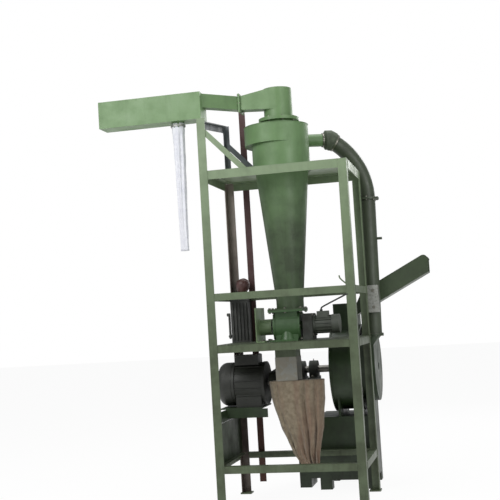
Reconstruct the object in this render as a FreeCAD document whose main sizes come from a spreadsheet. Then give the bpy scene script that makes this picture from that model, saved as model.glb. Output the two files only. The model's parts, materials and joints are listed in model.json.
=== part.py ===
import FreeCAD, Part
import math
import os
import re
from types import SimpleNamespace
from FreeCAD import Placement, Rotation, Vector
from Sketcher import Constraint

# Herb pulverizer with cyclone, airlock and product bag, in millimetres.
# X runs to the right, Y away from the front, Z up, and the origin lies on the floor
# at the middle of the stand.

os.makedirs("parts", exist_ok=True)
doc = FreeCAD.newDocument("HerbPulverizer")
sheet = doc.addObject("Spreadsheet::Sheet", "Sizes")

# Driving dimensions

SIZES = {
    # Stand of rolled angle
    "stand_width": 1050,
    "stand_depth": 760,
    "leg_width": 60,
    "leg_wall": 6,
    "rail_width": 50,
    "rail_wall": 5,
    "bottom_level": 310,
    "shelf_level": 1145,
    "middle_level": 1514,
    "top_level": 2385,
    "header_level": 2768,
    "deck_wall": 4,
    "foot_size": 84,
    "foot_lip": 8,
    "foot_wall": 10,
    "anchor_hole_radius": 7,
    "anchor_inset": 36,
    "brace_width": 40,
    "post_top": 2840,
    "brace_wall": 5,
    "brace_drop": 45,
    "brace_lap": 35,
    "brace_reach": 320,
    "upright_x": -392,
    "upright_foot": 80,
    "upright_top": 2960,
    # Cyclone of rolled sheet
    "sheet_wall": 3,
    "barrel_radius": 210,
    "cone_top_radius": 194,
    "cone_outlet_radius": 100,
    "cone_outlet_level": 1440,
    "scroll_level": 2585,
    "cover_level": 2722,
    "scroll_growth": 86,
    "scroll_end_angle": 300,
    "inlet_offset": 230,
    "support_ring_width": 48,
    "support_ring_wall": 8,
    "vortex_radius": 105,
    "vortex_drop": 120,
    # Outlet head and exhaust duct
    "head_flange_radius": 148,
    "head_flange_wall": 12,
    "head_neck_height": 45,
    "head_top_level": 3002,
    "branch_rise": 70,
    "branch_inset": 10,
    "duct_height": 100,
    "duct_depth": 100,
    "duct_flange_width": 18,
    "duct_flange_wall": 6,
    "branch_reach": 270,
    "header_length": 772,
    "header_height": 195,
    "header_depth": 160,
    "header_lap": 35,
    "spigot_radius": 46,
    "spigot_height": 40,
    "spigot_from_right": 195,
    "filter_bag_length": 925,
    "filter_bag_radius": 50,
    "filter_foot_radius": 28,
    # Conveying pipe
    "pipe_radius": 60,
    "pipe_wall": 3,
    "stub_radius": 48,
    "stub_start": 235,
    "throat_run": 95,
    "kink_reach": 428,
    "riser_behind": 95,
    "kink_turn": 30,
    "kink_gap": 12,
    "sleeve_radius": 74,
    "sleeve_reach": 58,
    "sleeve_wall": 5,
    "sleeve_taper": 46,
    "bend_radius": 520,
    "bend_turn": 61,
    "riser_foot_level": 1150,
    "nozzle_level": 1879,
    "nozzle_radius": 10,
    "nozzle_reach": 36,
    "pipe_flange_radius": 88,
    "foot_flange_radius": 72,
    "pipe_flange_wall": 8,
    # Rotary airlock
    "airlock_level": 1255,
    "airlock_x": -20,
    "airlock_radius": 104,
    "airlock_bore_radius": 92,
    "airlock_length": 165,
    "airlock_cover_wall": 16,
    "cover_boss_height": 14,
    "airlock_flange_size": 250,
    "airlock_flange_wall": 12,
    "throat_width": 150,
    "airlock_shaft_radius": 15,
    "vane_count": 6,
    "vane_wall": 6,
    "running_gap": 1.0,
    "shaft_gap": 0.05,
    "pedestal_x": -233,
    "pedestal_wall": 8,
    "pedestal_depth": 290,
    "pedestal_height": 250,
    "bearing_radius": 58,
    "bearing_gap": 8,
    "gear_head_length": 70,
    "gear_head_size": 168,
    "gear_motor_length": 190,
    "gear_motor_radius": 68,
    "gear_cowl_length": 55,
    "fin_height": 10,
    "fin_wall": 5,
    "fin_count": 16,
    # Discharge spout and product bag
    "spout_width": 156,
    "spout_depth": 190,
    "spout_wall": 2,
    "spout_foot_level": 865,
    "spout_top_level": 1035,
    "neck_level": 1008,
    "neck_wall": 3,
    "spout_x": -40,
    "bag_half_width": 206,
    "bag_half_depth": 84,
    "bag_x": 20,
    "bag_y": -30,
    "bag_neck_level": 345,
    "bag_tail_level": 250,
    # Mill
    "mill_axis_level": 900,
    "drum_radius": 320,
    "drum_length": 230,
    "drum_wall": 8,
    "fan_radius": 262,
    "fan_length": 110,
    "fan_wall": 5,
    "fan_outlet_depth": 122,
    "mill_shaft_radius": 27.5,
    "beater_disc_radius": 200,
    "beater_disc_wall": 16,
    "beater_gap": 18,
    "beater_lap": 30.8,
    "beater_count": 12,
    "liner_wall": 12,
    "impeller_radius": 206,
    "blade_count": 8,
    "bearing_block_length": 64,
    "bearing_span": 165,
    "mill_base_depth": 480,
    "mill_base_left": 66,
    "mill_base_clearance": 35,
    "mill_base_inset": 50,
    "mill_foot_height": 70,
    "mill_foot_size": 90,
    "mill_base_wall": 6,
    "cradle_wall": 16,
    "cradle_rise": 150,
    "pedestal_top_level": 812,
    "hopper_length": 180,
    "hopper_depth": 250,
    "hopper_rise": 180,
    "hopper_wall": 3,
    "tray_angle": 27.5,
    "tray_corner": 32,
    "tray_level": 1300,
    "fan_offset": 60,
    "tray_length": 580,
    "tray_side": 150,
    # Main motor and belt drive
    "motor_behind": 235,
    "motor_axis_level": 845,
    "motor_radius": 158,
    "motor_body_length": 250,
    "motor_cowl_length": 110,
    "motor_right_x": -232,
    "motor_shaft_radius": 19,
    "motor_plate_wall": 10,
    "motor_plate_depth": 320,
    "bearer_height": 80,
    "pulley_x": -170,
    "groove_count": 4,
    "groove_pitch": 19,
    "groove_depth": 14,
    "motor_pulley_radius": 80,
    "mill_pulley_radius": 60,
    "belt_width": 16,
    "belt_height": 11,
    "belt_gap": 0.4,
    # Electrical boxes and cable
    "starter_width": 170,
    "starter_height": 350,
    "starter_depth": 110,
    "starter_rib_count": 5,
    "handle_length": 165,
    "handle_width": 24,
    "handle_wall": 12,
    "handle_pin_radius": 9,
    "cable_hood_height": 60,
    "handle_level": 50,
    "clamp_width": 100,
    "clamp_height": 205,
    "clamp_depth": 110,
    "clamp_level": 1318,
    "seat_gap": 0.3,
}

for row, (alias, number) in enumerate(SIZES.items(), start=1):
    sheet.set(f"A{row}", alias.replace("_", " "))
    sheet.set(f"B{row}", str(number))
    sheet.setAlias(f"B{row}", alias)
doc.recompute()
S = SimpleNamespace(**{alias: float(sheet.get(alias)) for alias in SIZES})

parts = []


def linked(rule):
    """Turns the size names in a rule into references to the sheet."""
    return re.sub(r"\b([a-z]+(?:_[a-z]+)+)\b", r"Sizes.\1", str(rule))


def bind(thing, rules):
    """Binds properties of an object to rules written with size names."""
    for prop, rule in rules.items():
        thing.setExpression(prop, linked(rule))
    return thing


def place(thing, x, y, z, turn=None):
    """Places an object by rules, with a fixed turn."""
    if turn is not None:
        thing.Placement = Placement(Vector(), turn)
    bind(thing, {"Placement.Base.x": x, "Placement.Base.y": y, "Placement.Base.z": z})
    return thing


def box(name, x, y, z, length, width, height):
    """A block from its low corner and its sizes along X, Y and Z."""
    block = doc.addObject("Part::Box", name)
    bind(block, {"Length": length, "Width": width, "Height": height})
    return place(block, x, y, z)


TURNS = {
    "x": Rotation(Vector(0, 1, 0), 90),
    "y": Rotation(Vector(1, 0, 0), -90),
    "z": Rotation(),
}


def rod(name, axis, x, y, z, radius, length):
    """A cylinder along an axis from its first end."""
    bar = doc.addObject("Part::Cylinder", name)
    bind(bar, {"Radius": radius, "Height": length})
    return place(bar, x, y, z, TURNS[axis])


def taper(name, axis, x, y, z, radius_start, radius_end, length):
    """A cone frustum along an axis from its first end."""
    cone = doc.addObject("Part::Cone", name)
    bind(cone, {"Radius1": radius_start, "Radius2": radius_end, "Height": length})
    return place(cone, x, y, z, TURNS[axis])


def fuse(name, *things):
    """Joins objects into one solid."""
    joined = doc.addObject("Part::MultiFuse", name)
    joined.Shapes = list(things)
    joined.Refine = True
    return joined


def cut(name, base, *tools):
    """Cuts the tools from the base."""
    tool = tools[0] if len(tools) == 1 else fuse(name + "_tools", *tools)
    result = doc.addObject("Part::Cut", name)
    result.Base = base
    result.Tool = tool
    return result


def group(name, *things):
    """Keeps separate solids together in one node."""
    bundle = doc.addObject("Part::Compound", name)
    bundle.Links = list(things)
    return bundle


def shaped(name, shape):
    """A free shape worked out from the sheet's sizes."""
    thing = doc.addObject("Part::Feature", name)
    thing.Shape = shape
    return thing


def part(node, thing):
    """Registers an object as a piece that is written to its own file."""
    thing.Label = node
    parts.append(thing)
    return thing


def angle_bar(name, width, wall, length, x, y, z, turn):
    """A rolled angle: corner at its origin, flanges along its X and Y, length along its Z."""
    body = doc.addObject("PartDesign::Body", name)
    sketch = body.newObject("Sketcher::SketchObject", name + "_section")
    plane = [f for f in body.Origin.OriginFeatures if f.Role == "XY_Plane"][0]
    sketch.AttachmentSupport = [(plane, "")]
    sketch.MapMode = "FlatFace"
    w, t = 40.0, 4.0  # drawn sizes, which the constraints then set
    corners = [(0, 0), (w, 0), (w, t), (t, t), (t, w), (0, w)]
    for first, second in zip(corners, corners[1:] + corners[:1]):
        sketch.addGeometry(Part.LineSegment(Vector(*first, 0), Vector(*second, 0)))
    tie_section(sketch)
    bind(sketch, {
        "Constraints.width": width,
        "Constraints.height": width,
        "Constraints.wall": wall,
        "Constraints.rise": wall,
    })
    pad = body.newObject("PartDesign::Pad", name + "_pad")
    pad.Profile = sketch
    bind(pad, {"Length": length})
    return place(body, x, y, z, turn)


def tie_section(sketch):
    """Ties the six lines of an angle section together and names its sizes."""
    for line in range(6):
        sketch.addConstraint(Constraint("Coincident", line, 2, (line + 1) % 6, 1))
        sketch.addConstraint(Constraint("Horizontal" if line % 2 == 0 else "Vertical", line))
    sketch.addConstraint(Constraint("Coincident", 0, 1, -1, 1))
    for label, line in (("width", 0), ("wall", 1), ("rise", 4), ("height", 5)):
        index = sketch.addConstraint(Constraint("Distance", line, 10.0 + line))
        sketch.renameConstraint(index, label)


def about_z(angle):
    """A turn about the upright axis."""
    return Rotation(Vector(0, 0, 1), angle)


# Directions of the flanges of a bar that lies along X or Y, top flange level, web outside
FRONT = Rotation(Vector(0, 1, 0), Vector(0, 0, -1), Vector(-1, 0, 0), "XYZ")
REAR = Rotation(Vector(0, 0, -1), Vector(0, -1, 0), Vector(-1, 0, 0), "XYZ")
LEFT = Rotation(Vector(0, 0, -1), Vector(1, 0, 0), Vector(0, -1, 0), "XYZ")
RIGHT = Rotation(Vector(-1, 0, 0), Vector(0, 0, -1), Vector(0, -1, 0), "XYZ")

# Stand: four legs, of which the left pair carries the header


def leg(node, side_x, side_y, turn, top):
    """One leg of the stand on its foot plate."""
    return part(node, angle_bar(
        node + "_bar", "leg_width", "leg_wall", f"{top} - foot_wall",
        f"{side_x} * stand_width / 2", f"{side_y} * stand_depth / 2", "foot_wall", about_z(turn)))


leg("leg_front_left", -1, -1, 0, "header_level")
leg("leg_front_right", 1, -1, 90, "top_level")
leg("leg_rear_right", 1, 1, 180, "top_level")
leg("leg_rear_left", -1, 1, 270, "top_level")

feet = []
for side_x in (-1, 1):
    for side_y in (-1, 1):
        tag = f"foot_{side_x + 1}{side_y + 1}"
        low_x = f"{side_x} * (stand_width / 2 + foot_lip - foot_size / 2) - foot_size / 2"
        low_y = f"{side_y} * (stand_depth / 2 + foot_lip - foot_size / 2) - foot_size / 2"
        hole_x = f"{side_x} * (stand_width / 2 - anchor_inset)"
        hole_y = f"{side_y} * (stand_depth / 2 - anchor_inset)"
        feet.append(cut(
            tag,
            box(tag + "_plate", low_x, low_y, 0, "foot_size", "foot_size", "foot_wall"),
            rod(tag + "_hole", "z", hole_x, hole_y, "-foot_wall", "anchor_hole_radius", "3 * foot_wall")))
part("foot_plates", group("feet", *feet))


def rail_ring(node, level, width):
    """Four rails of one level, welded between the legs."""
    span_x = "stand_width - 2 * leg_width"
    span_y = "stand_depth - 2 * leg_width"
    end_x = "stand_width / 2 - leg_width"
    end_y = "stand_depth / 2 - leg_width"
    bars = [
        angle_bar(node + "_front", width, "rail_wall", span_x, end_x, "-stand_depth / 2", level, FRONT),
        angle_bar(node + "_rear", width, "rail_wall", span_x, end_x, "stand_depth / 2", level, REAR),
        angle_bar(node + "_left", width, "rail_wall", span_y, "-stand_width / 2", end_y, level, LEFT),
        angle_bar(node + "_right", width, "rail_wall", span_y, "stand_width / 2", end_y, level, RIGHT),
    ]
    return part(node, group(node + "_bars", *bars))


rail_ring("bottom_rails", "bottom_level", "rail_width")
rail_ring("shelf_rails", "shelf_level", "rail_width")
rail_ring("middle_rails", "middle_level", "rail_width")
rail_ring("top_rails", "top_level", "leg_width")

DECK_X = "-stand_width / 2 + leg_wall + 1"
DECK_Y = "-stand_depth / 2 + leg_wall + 1"
CUT_DEPTH = 60  # longer than any plate that is cut through

deck = box("deck_sheet", DECK_X, DECK_Y, "top_level",
           "stand_width - leg_wall - 1", "stand_depth - 2 * leg_wall - 2", "deck_wall")
deck_hole = rod("deck_hole", "z", 0, 0, "top_level - 20", "barrel_radius + 2", CUT_DEPTH)
part("cyclone_deck", cut("deck", deck, deck_hole))

# The airlock's shelf carries a short square neck below it, over which the spout slides
shelf = box("shelf_sheet", DECK_X, DECK_Y, "shelf_level",
            "stand_width - 2 * leg_wall - 2", "stand_depth - 2 * leg_wall - 2", "deck_wall")
NECK_WIDTH = "(spout_width - 2 * spout_wall - 2 * seat_gap)"
NECK_DEPTH = "(spout_depth - 2 * spout_wall - 2 * seat_gap)"
neck = box("shelf_neck", f"spout_x - {NECK_WIDTH} / 2", f"-{NECK_DEPTH} / 2", "neck_level",
           NECK_WIDTH, NECK_DEPTH, "shelf_level + deck_wall - neck_level")
shelf_hole = box("shelf_hole", f"spout_x - {NECK_WIDTH} / 2 + neck_wall", f"-{NECK_DEPTH} / 2 + neck_wall",
                 "neck_level - 20", f"{NECK_WIDTH} - 2 * neck_wall", f"{NECK_DEPTH} - 2 * neck_wall", 400)
part("airlock_shelf", cut("shelf", fuse("shelf_blank", shelf, neck), shelf_hole))

# Outrigger on the left legs: a sloping rail in depth, a post and two braces down to the deck


def header_rail():
    """The angle that rises from the front left leg, under the header, to the rear post."""
    left = -S.stand_width / 2 + S.leg_wall + S.seat_gap
    front = -S.stand_depth / 2 + S.leg_wall + S.seat_gap
    back = S.stand_depth / 2 - S.leg_wall - 1
    header_back = -S.stand_depth / 2 + S.header_depth
    slope = (S.post_top - S.header_level) / (back - header_back)

    def bar(far, height, wide):
        corners = []
        for y, drop in ((front, 0), (far, 0), (far, height), (front, height)):
            corners.append(Vector(left, y, S.header_level - S.seat_gap + (y - header_back) * slope - drop))
        return Part.Face(Part.makePolygon(corners + corners[:1])).extrude(Vector(wide, 0, 0))

    web = bar(back, S.rail_width, S.rail_wall)
    flange = bar(back - S.brace_width - 2 * S.rail_wall, S.rail_wall, S.brace_width)
    return web.fuse(flange).removeSplitter()


part("header_rail", shaped("header_rail_bar", header_rail()))


def brace(node, y):
    """A flat brace that slopes from the outrigger down to the deck."""
    top_x = -S.stand_width / 2 + S.leg_width - S.brace_lap
    top_z = S.header_level - S.brace_drop
    foot_x = top_x + S.brace_reach
    foot_z = S.top_level + S.deck_wall
    outline = [
        Vector(top_x, y, top_z), Vector(top_x, y, top_z - S.brace_width * 1.4),
        Vector(foot_x - S.brace_width * 1.4, y, foot_z), Vector(foot_x, y, foot_z),
    ]
    face = Part.Face(Part.makePolygon(outline + outline[:1]))
    return part(node, shaped(node + "_bar", face.extrude(Vector(0, S.brace_wall, 0))))


part("rear_post", angle_bar("rear_post_bar", "brace_width", "brace_wall", "post_top - top_level - deck_wall",
                            "-stand_width / 2 + leg_wall + rail_wall + 2 * seat_gap",
                            "stand_depth / 2 - leg_wall - 1", "top_level + deck_wall", about_z(270)))
brace("brace_front", -S.stand_depth / 2 + S.leg_wall + S.seat_gap)
brace("brace_rear", S.stand_depth / 2 - S.leg_wall - 1 - 2 * S.brace_wall - S.seat_gap)

part("rear_upright", angle_bar("rear_upright_bar", "rail_width", "rail_wall", "upright_top - upright_foot",
                               "upright_x", "stand_depth / 2", "upright_foot", Rotation()))

# Cyclone shell: barrel and cone of rolled sheet with the scroll inlet round its head

BEND_SPAN = math.sin(math.radians(S.kink_turn + S.bend_turn)) - math.sin(math.radians(S.kink_turn))
RISER_ALONG = S.kink_reach + S.kink_gap * math.cos(math.radians(S.kink_turn)) + S.bend_radius * BEND_SPAN
RISER_Y = S.stand_depth / 2 + S.riser_behind
RISER_SPAN = math.hypot(S.inlet_offset, RISER_ALONG)
INLET_TURN = math.asin(RISER_Y / RISER_SPAN) - math.atan2(S.inlet_offset, RISER_ALONG)
INLET_WAY = Vector(math.cos(INLET_TURN), math.sin(INLET_TURN), 0)
INLET_SIDE = Vector(-math.sin(INLET_TURN), math.cos(INLET_TURN), 0)
TANGENT_ANGLE = math.degrees(INLET_TURN) + 90
INLET_LEVEL = (S.scroll_level + S.cover_level) / 2


def scroll_point(angle, inset):
    """A point of the scroll's outer wall, from the inlet's tangent to the scroll's end."""
    share = (S.scroll_end_angle - angle) / (S.scroll_end_angle - TANGENT_ANGLE)
    radius = S.barrel_radius + S.scroll_growth * share - inset
    return Vector(radius * math.cos(math.radians(angle)), radius * math.sin(math.radians(angle)), 0)


def scroll_solid(inset, low, high):
    """The space that the scroll encloses, with the straight inlet channel."""
    steps = 4
    turn = (S.scroll_end_angle - TANGENT_ANGLE) / steps
    edges = []
    for index in range(steps):
        start = TANGENT_ANGLE + turn * index
        ends = [scroll_point(start + turn * share, inset) for share in (0, 0.5, 1)]
        edges.append(Part.Arc(*ends).toShape())
    mouth = INLET_WAY * (S.stub_start - S.throat_run)
    outer = INLET_SIDE * (S.barrel_radius + S.scroll_growth - inset)
    inner = INLET_SIDE * (S.inlet_offset * 2 - S.barrel_radius - S.scroll_growth + inset)
    corners = [scroll_point(S.scroll_end_angle, inset), inner, inner + mouth, outer + mouth, outer]
    for first, second in zip(corners, corners[1:]):
        edges.append(Part.LineSegment(first, second).toShape())
    face = Part.Face(Part.Wire(Part.__sortEdges__(edges)))
    return face.extrude(Vector(0, 0, high - low)).translated(Vector(0, 0, low))


def tube_between(low, high, radius_low, radius_high, wall):
    """A round wall along Z, straight or tapered."""
    if abs(radius_low - radius_high) < 1e-6:
        outer = Part.makeCylinder(radius_low, high - low, Vector(0, 0, low))
        inner = Part.makeCylinder(radius_low - wall, high - low, Vector(0, 0, low))
    else:
        outer = Part.makeCone(radius_low, radius_high, high - low, Vector(0, 0, low))
        inner = Part.makeCone(radius_low - wall, radius_high - wall, high - low, Vector(0, 0, low))
    return outer.cut(inner)


def ring_plate(level, inner, outer, wall):
    """A flat round ring."""
    return Part.makeCylinder(outer, wall, Vector(0, 0, level)).cut(
        Part.makeCylinder(inner, wall, Vector(0, 0, level)))


def square_to_round(half_wide, half_high, radius, start, length, grow):
    """The body of a transition from the inlet channel to the round stub."""
    centre = INLET_SIDE * S.inlet_offset + Vector(0, 0, INLET_LEVEL)
    near = centre + INLET_WAY * start
    far = centre + INLET_WAY * (start + length)
    up = Vector(0, 0, 1)
    corners = [
        near + INLET_SIDE * (half_wide + grow) + up * (half_high + grow),
        near - INLET_SIDE * (half_wide + grow) + up * (half_high + grow),
        near - INLET_SIDE * (half_wide + grow) - up * (half_high + grow),
        near + INLET_SIDE * (half_wide + grow) - up * (half_high + grow),
    ]
    rim = Part.Wire(Part.Circle(far, INLET_WAY, radius + grow).toShape())
    return Part.makeLoft([Part.makePolygon(corners + corners[:1]), rim], True)


CONE_TOP = S.top_level + S.deck_wall
SCROLL_TOP = S.cover_level
STUB_CENTRE = INLET_SIDE * S.inlet_offset + Vector(0, 0, INLET_LEVEL)


def cyclone_shell():
    """Barrel, cone, outlet neck, support ring, scroll and inlet stub as one welded shell."""
    wall = S.sheet_wall
    barrel = tube_between(CONE_TOP, SCROLL_TOP, S.barrel_radius, S.barrel_radius, wall)
    cone = tube_between(S.cone_outlet_level, CONE_TOP, S.cone_outlet_radius, S.cone_top_radius, wall)
    neck_low = S.airlock_level + S.airlock_radius + 2 * S.airlock_flange_wall
    neck = tube_between(neck_low, S.cone_outlet_level, S.cone_outlet_radius, S.cone_outlet_radius, wall)
    ring = ring_plate(CONE_TOP, S.cone_top_radius - wall + 1, S.barrel_radius + S.support_ring_width,
                      S.support_ring_wall)
    flange_low = S.airlock_level + S.airlock_radius + S.airlock_flange_wall
    half = S.airlock_flange_size / 2
    flange = Part.makeBox(2 * half, 2 * half, S.airlock_flange_wall,
                          Vector(S.airlock_x - half, -half, flange_low))
    flange = flange.cut(Part.makeCylinder(S.cone_outlet_radius - wall, 100, Vector(0, 0, flange_low - 30)))
    scroll = scroll_solid(0, S.scroll_level, SCROLL_TOP)
    hollow = scroll_solid(wall, S.scroll_level + wall, SCROLL_TOP)
    shell = barrel.cut(hollow).fuse([cone, neck, ring, flange])
    inside = Part.makeCylinder(S.barrel_radius - wall, SCROLL_TOP - CONE_TOP, Vector(0, 0, CONE_TOP))
    shell = shell.fuse(scroll.cut(hollow).cut(inside))
    half_wide = S.barrel_radius + S.scroll_growth - S.inlet_offset
    half_high = (SCROLL_TOP - S.scroll_level) / 2
    start = S.stub_start - S.throat_run
    turn_outer = square_to_round(half_wide, half_high, S.stub_radius, start, S.throat_run, 0)
    turn_inner = square_to_round(half_wide, half_high, S.stub_radius, start, S.throat_run, -wall)
    stub_length = S.kink_reach - S.kink_gap - S.stub_start
    stub_base = STUB_CENTRE + INLET_WAY * S.stub_start
    stub = Part.makeCylinder(S.stub_radius, stub_length, stub_base, INLET_WAY)
    stub = stub.cut(Part.makeCylinder(S.stub_radius - wall, stub_length, stub_base, INLET_WAY))
    shell = shell.fuse([turn_outer.cut(turn_inner), stub]).cut(hollow)
    mouth = Part.makeBox(2 * wall, 2 * (half_wide - wall), 2 * (half_high - wall),
                         Vector(-wall, wall - half_wide, wall - half_high))
    mouth.rotate(Vector(), Vector(0, 0, 1), math.degrees(INLET_TURN))
    mouth.translate(STUB_CENTRE + INLET_WAY * start)
    return shell.cut(mouth).removeSplitter()


part("cyclone_shell", shaped("cyclone", cyclone_shell()))


def cover_plate():
    """The flat cover on the scroll with the vortex tube that hangs in the barrel."""
    outline = scroll_solid(-S.sheet_wall, S.cover_level, S.cover_level + S.sheet_wall)
    disc = Part.makeCylinder(S.barrel_radius + S.sheet_wall, S.sheet_wall, Vector(0, 0, S.cover_level))
    plate = outline.fuse(disc)
    tube_top = S.cover_level + S.sheet_wall + S.head_neck_height
    tube_low = S.cover_level - S.vortex_drop
    tube = tube_between(tube_low, tube_top, S.vortex_radius, S.vortex_radius, S.sheet_wall)
    hole = Part.makeCylinder(S.vortex_radius - S.sheet_wall, 2 * (tube_top - tube_low),
                             Vector(0, 0, tube_low))
    flange = ring_plate(tube_top - S.head_flange_wall, S.vortex_radius - 1, S.head_flange_radius,
                        S.head_flange_wall)
    return plate.fuse([tube, flange]).cut(hole).removeSplitter()


part("cyclone_cover", shaped("cover", cover_plate()))

HEAD_LOW = S.cover_level + S.sheet_wall + S.head_neck_height
BRANCH_LOW = HEAD_LOW + S.branch_rise
DUCT_LOW = BRANCH_LOW + 2 * S.branch_inset
DUCT_FRONT = -S.vortex_radius + S.branch_inset
HEADER_LOW = S.header_level
HEADER_RIGHT = -S.stand_width / 2 + S.header_lap
HEADER_LEFT = HEADER_RIGHT - S.header_length
HEADER_FRONT = -S.stand_depth / 2
MOUTH_FRONT = HEADER_FRONT + S.header_depth - S.branch_inset - S.duct_depth
MOUTH_LOW = HEADER_LOW + S.header_height - 2 * S.sheet_wall - S.duct_height


def duct_section(corner, depth, height, shrink):
    """A rectangle across the duct from its low front corner."""
    corners = [corner + Vector(0, y, z) for y, z in (
        (shrink, shrink), (depth - shrink, shrink), (depth - shrink, height - shrink),
        (shrink, height - shrink))]
    return Part.makePolygon(corners + corners[:1])


def duct_flange(x):
    """The flange plate round the duct at the branch, with its window cut by the caller."""
    rim = S.duct_flange_width
    return Part.makeBox(S.duct_flange_wall, S.duct_depth + 2 * rim, S.duct_height + 2 * rim,
                        Vector(x, DUCT_FRONT - rim, DUCT_LOW - rim))


def duct_window(x):
    """The duct's clear opening through a flange plate."""
    wall = S.sheet_wall
    return Part.makeBox(3 * S.duct_flange_wall, S.duct_depth - 2 * wall, S.duct_height - 2 * wall,
                        Vector(x - S.duct_flange_wall, DUCT_FRONT + wall, DUCT_LOW + wall))


def outlet_head():
    """The round outlet head with its tangential branch that narrows to the duct."""
    wall = S.sheet_wall
    height = S.head_top_level - HEAD_LOW
    drum = Part.makeCylinder(S.vortex_radius, height, Vector(0, 0, HEAD_LOW))
    flange = Part.makeCylinder(S.head_flange_radius, S.head_flange_wall, Vector(0, 0, HEAD_LOW))

    def branch(shrink):
        near = duct_section(Vector(0, -S.vortex_radius, BRANCH_LOW), S.vortex_radius - S.branch_inset,
                            S.head_top_level - BRANCH_LOW, shrink)
        far = duct_section(Vector(-S.branch_reach, DUCT_FRONT, DUCT_LOW), S.duct_depth, S.duct_height, shrink)
        return Part.makeLoft([near, far], True, True)

    inner = Part.makeCylinder(S.vortex_radius - wall, height - wall, Vector(0, 0, HEAD_LOW))
    outer = drum.fuse([flange, branch(0), duct_flange(-S.branch_reach)])
    return outer.cut(inner.fuse(branch(wall))).cut(duct_window(-S.branch_reach)).removeSplitter()


part("outlet_head", shaped("head", outlet_head()))


def exhaust_duct():
    """The duct from the head's branch forward to the end of the header."""
    near = Vector(-S.branch_reach - S.seat_gap, DUCT_FRONT, DUCT_LOW)
    far = Vector(HEADER_RIGHT + S.seat_gap, MOUTH_FRONT, MOUTH_LOW)

    def run(shrink):
        ends = [duct_section(base, S.duct_depth, S.duct_height, shrink) for base in (near, far)]
        return Part.makeLoft(ends, True, True)

    plate_x = -S.branch_reach - S.seat_gap - S.duct_flange_wall
    return run(0).cut(run(S.sheet_wall)).fuse(duct_flange(plate_x)).cut(duct_window(plate_x)).removeSplitter()


part("exhaust_duct", shaped("duct", exhaust_duct()))

SPIGOT_X = HEADER_RIGHT - S.spigot_from_right
SPIGOT_Y = HEADER_FRONT + S.header_depth / 2


def header_box():
    """The flat header above the filter bag, with its round spigot and the duct's mouth."""
    wall = S.sheet_wall
    corner = Vector(HEADER_LEFT, HEADER_FRONT, HEADER_LOW)
    inset = Vector(wall, wall, wall)
    outer = Part.makeBox(S.header_length, S.header_depth, S.header_height, corner)
    inner = Part.makeBox(S.header_length - 2 * wall, S.header_depth - 2 * wall, S.header_height - 2 * wall,
                         corner + inset)
    spigot_low = Vector(SPIGOT_X, SPIGOT_Y, HEADER_LOW - S.spigot_height)
    spigot = Part.makeCylinder(S.spigot_radius, S.spigot_height, spigot_low)
    bore = Part.makeCylinder(S.spigot_radius - wall, S.spigot_height + 3 * wall, spigot_low)
    mouth = Part.makeBox(4 * wall, S.duct_depth - 2 * wall, S.duct_height - 2 * wall,
                         Vector(HEADER_RIGHT - 2 * wall, MOUTH_FRONT + wall, MOUTH_LOW + wall))
    return outer.fuse(spigot).cut(inner).cut(bore).cut(mouth).removeSplitter()


part("header_box", shaped("header", header_box()))


def filter_bag():
    """The hanging filter bag, drawn plain: a round head on the spigot and a slack, closed tail."""
    top = HEADER_LOW - 2 * S.sheet_wall
    cuff = 2 * S.spigot_height
    head = Part.makeCylinder(S.filter_bag_radius, cuff, Vector(SPIGOT_X, SPIGOT_Y, top - cuff))
    tail = Part.makeCone(S.filter_foot_radius, S.filter_bag_radius, S.filter_bag_length - cuff,
                         Vector(SPIGOT_X, SPIGOT_Y, top - S.filter_bag_length))
    bore = Part.makeCylinder(S.spigot_radius + S.seat_gap, S.spigot_height,
                             Vector(SPIGOT_X, SPIGOT_Y, top - S.spigot_height))
    return head.fuse(tail).cut(bore).removeSplitter()


part("filter_bag", shaped("filter_bag_tube", filter_bag()))

BAND_WALL = 4
BAND_HEIGHT = 14
filter_band = ring_plate(HEADER_LOW - S.spigot_height + 8, S.filter_bag_radius + S.seat_gap,
                         S.filter_bag_radius + BAND_WALL, BAND_HEIGHT)
part("filter_bag_clamp", shaped("filter_clamp", filter_band.translated(Vector(SPIGOT_X, SPIGOT_Y, 0))))

# Conveying pipe in the upright plane through the inlet


def plane_point(along, level):
    """A point of the pipe's plane from its distance along the inlet and its height."""
    return INLET_SIDE * S.inlet_offset + INLET_WAY * along + Vector(0, 0, level)


def torus_pipe(start_along, start_level, dip, turn, radius, tube_radius, wall):
    """A round pipe wall that bends downward from a dip through a turn, with its end place."""
    first = math.radians(dip)
    last = math.radians(dip + turn)
    centre_along = start_along - radius * math.sin(first)
    centre_level = start_level - radius * math.cos(first)
    centre = plane_point(centre_along, centre_level)
    start = plane_point(start_along, start_level)
    way = INLET_WAY * math.cos(first) - Vector(0, 0, math.sin(first))
    outer = Part.Wire(Part.Circle(start, way, tube_radius).toShape())
    inner = Part.Wire(Part.Circle(start, way, tube_radius - wall).toShape())
    section = Part.makeFace([outer, inner], "Part::FaceMakerBullseye")
    pipe = section.revolve(centre, INLET_SIDE, turn)
    end = (centre_along + radius * math.sin(last), centre_level + radius * math.cos(last))
    return pipe, end


KINK = plane_point(S.kink_reach, INLET_LEVEL)
KINK_DIP = math.radians(S.kink_turn)
KINK_WAY = INLET_WAY * math.cos(KINK_DIP) - Vector(0, 0, math.sin(KINK_DIP))


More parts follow.
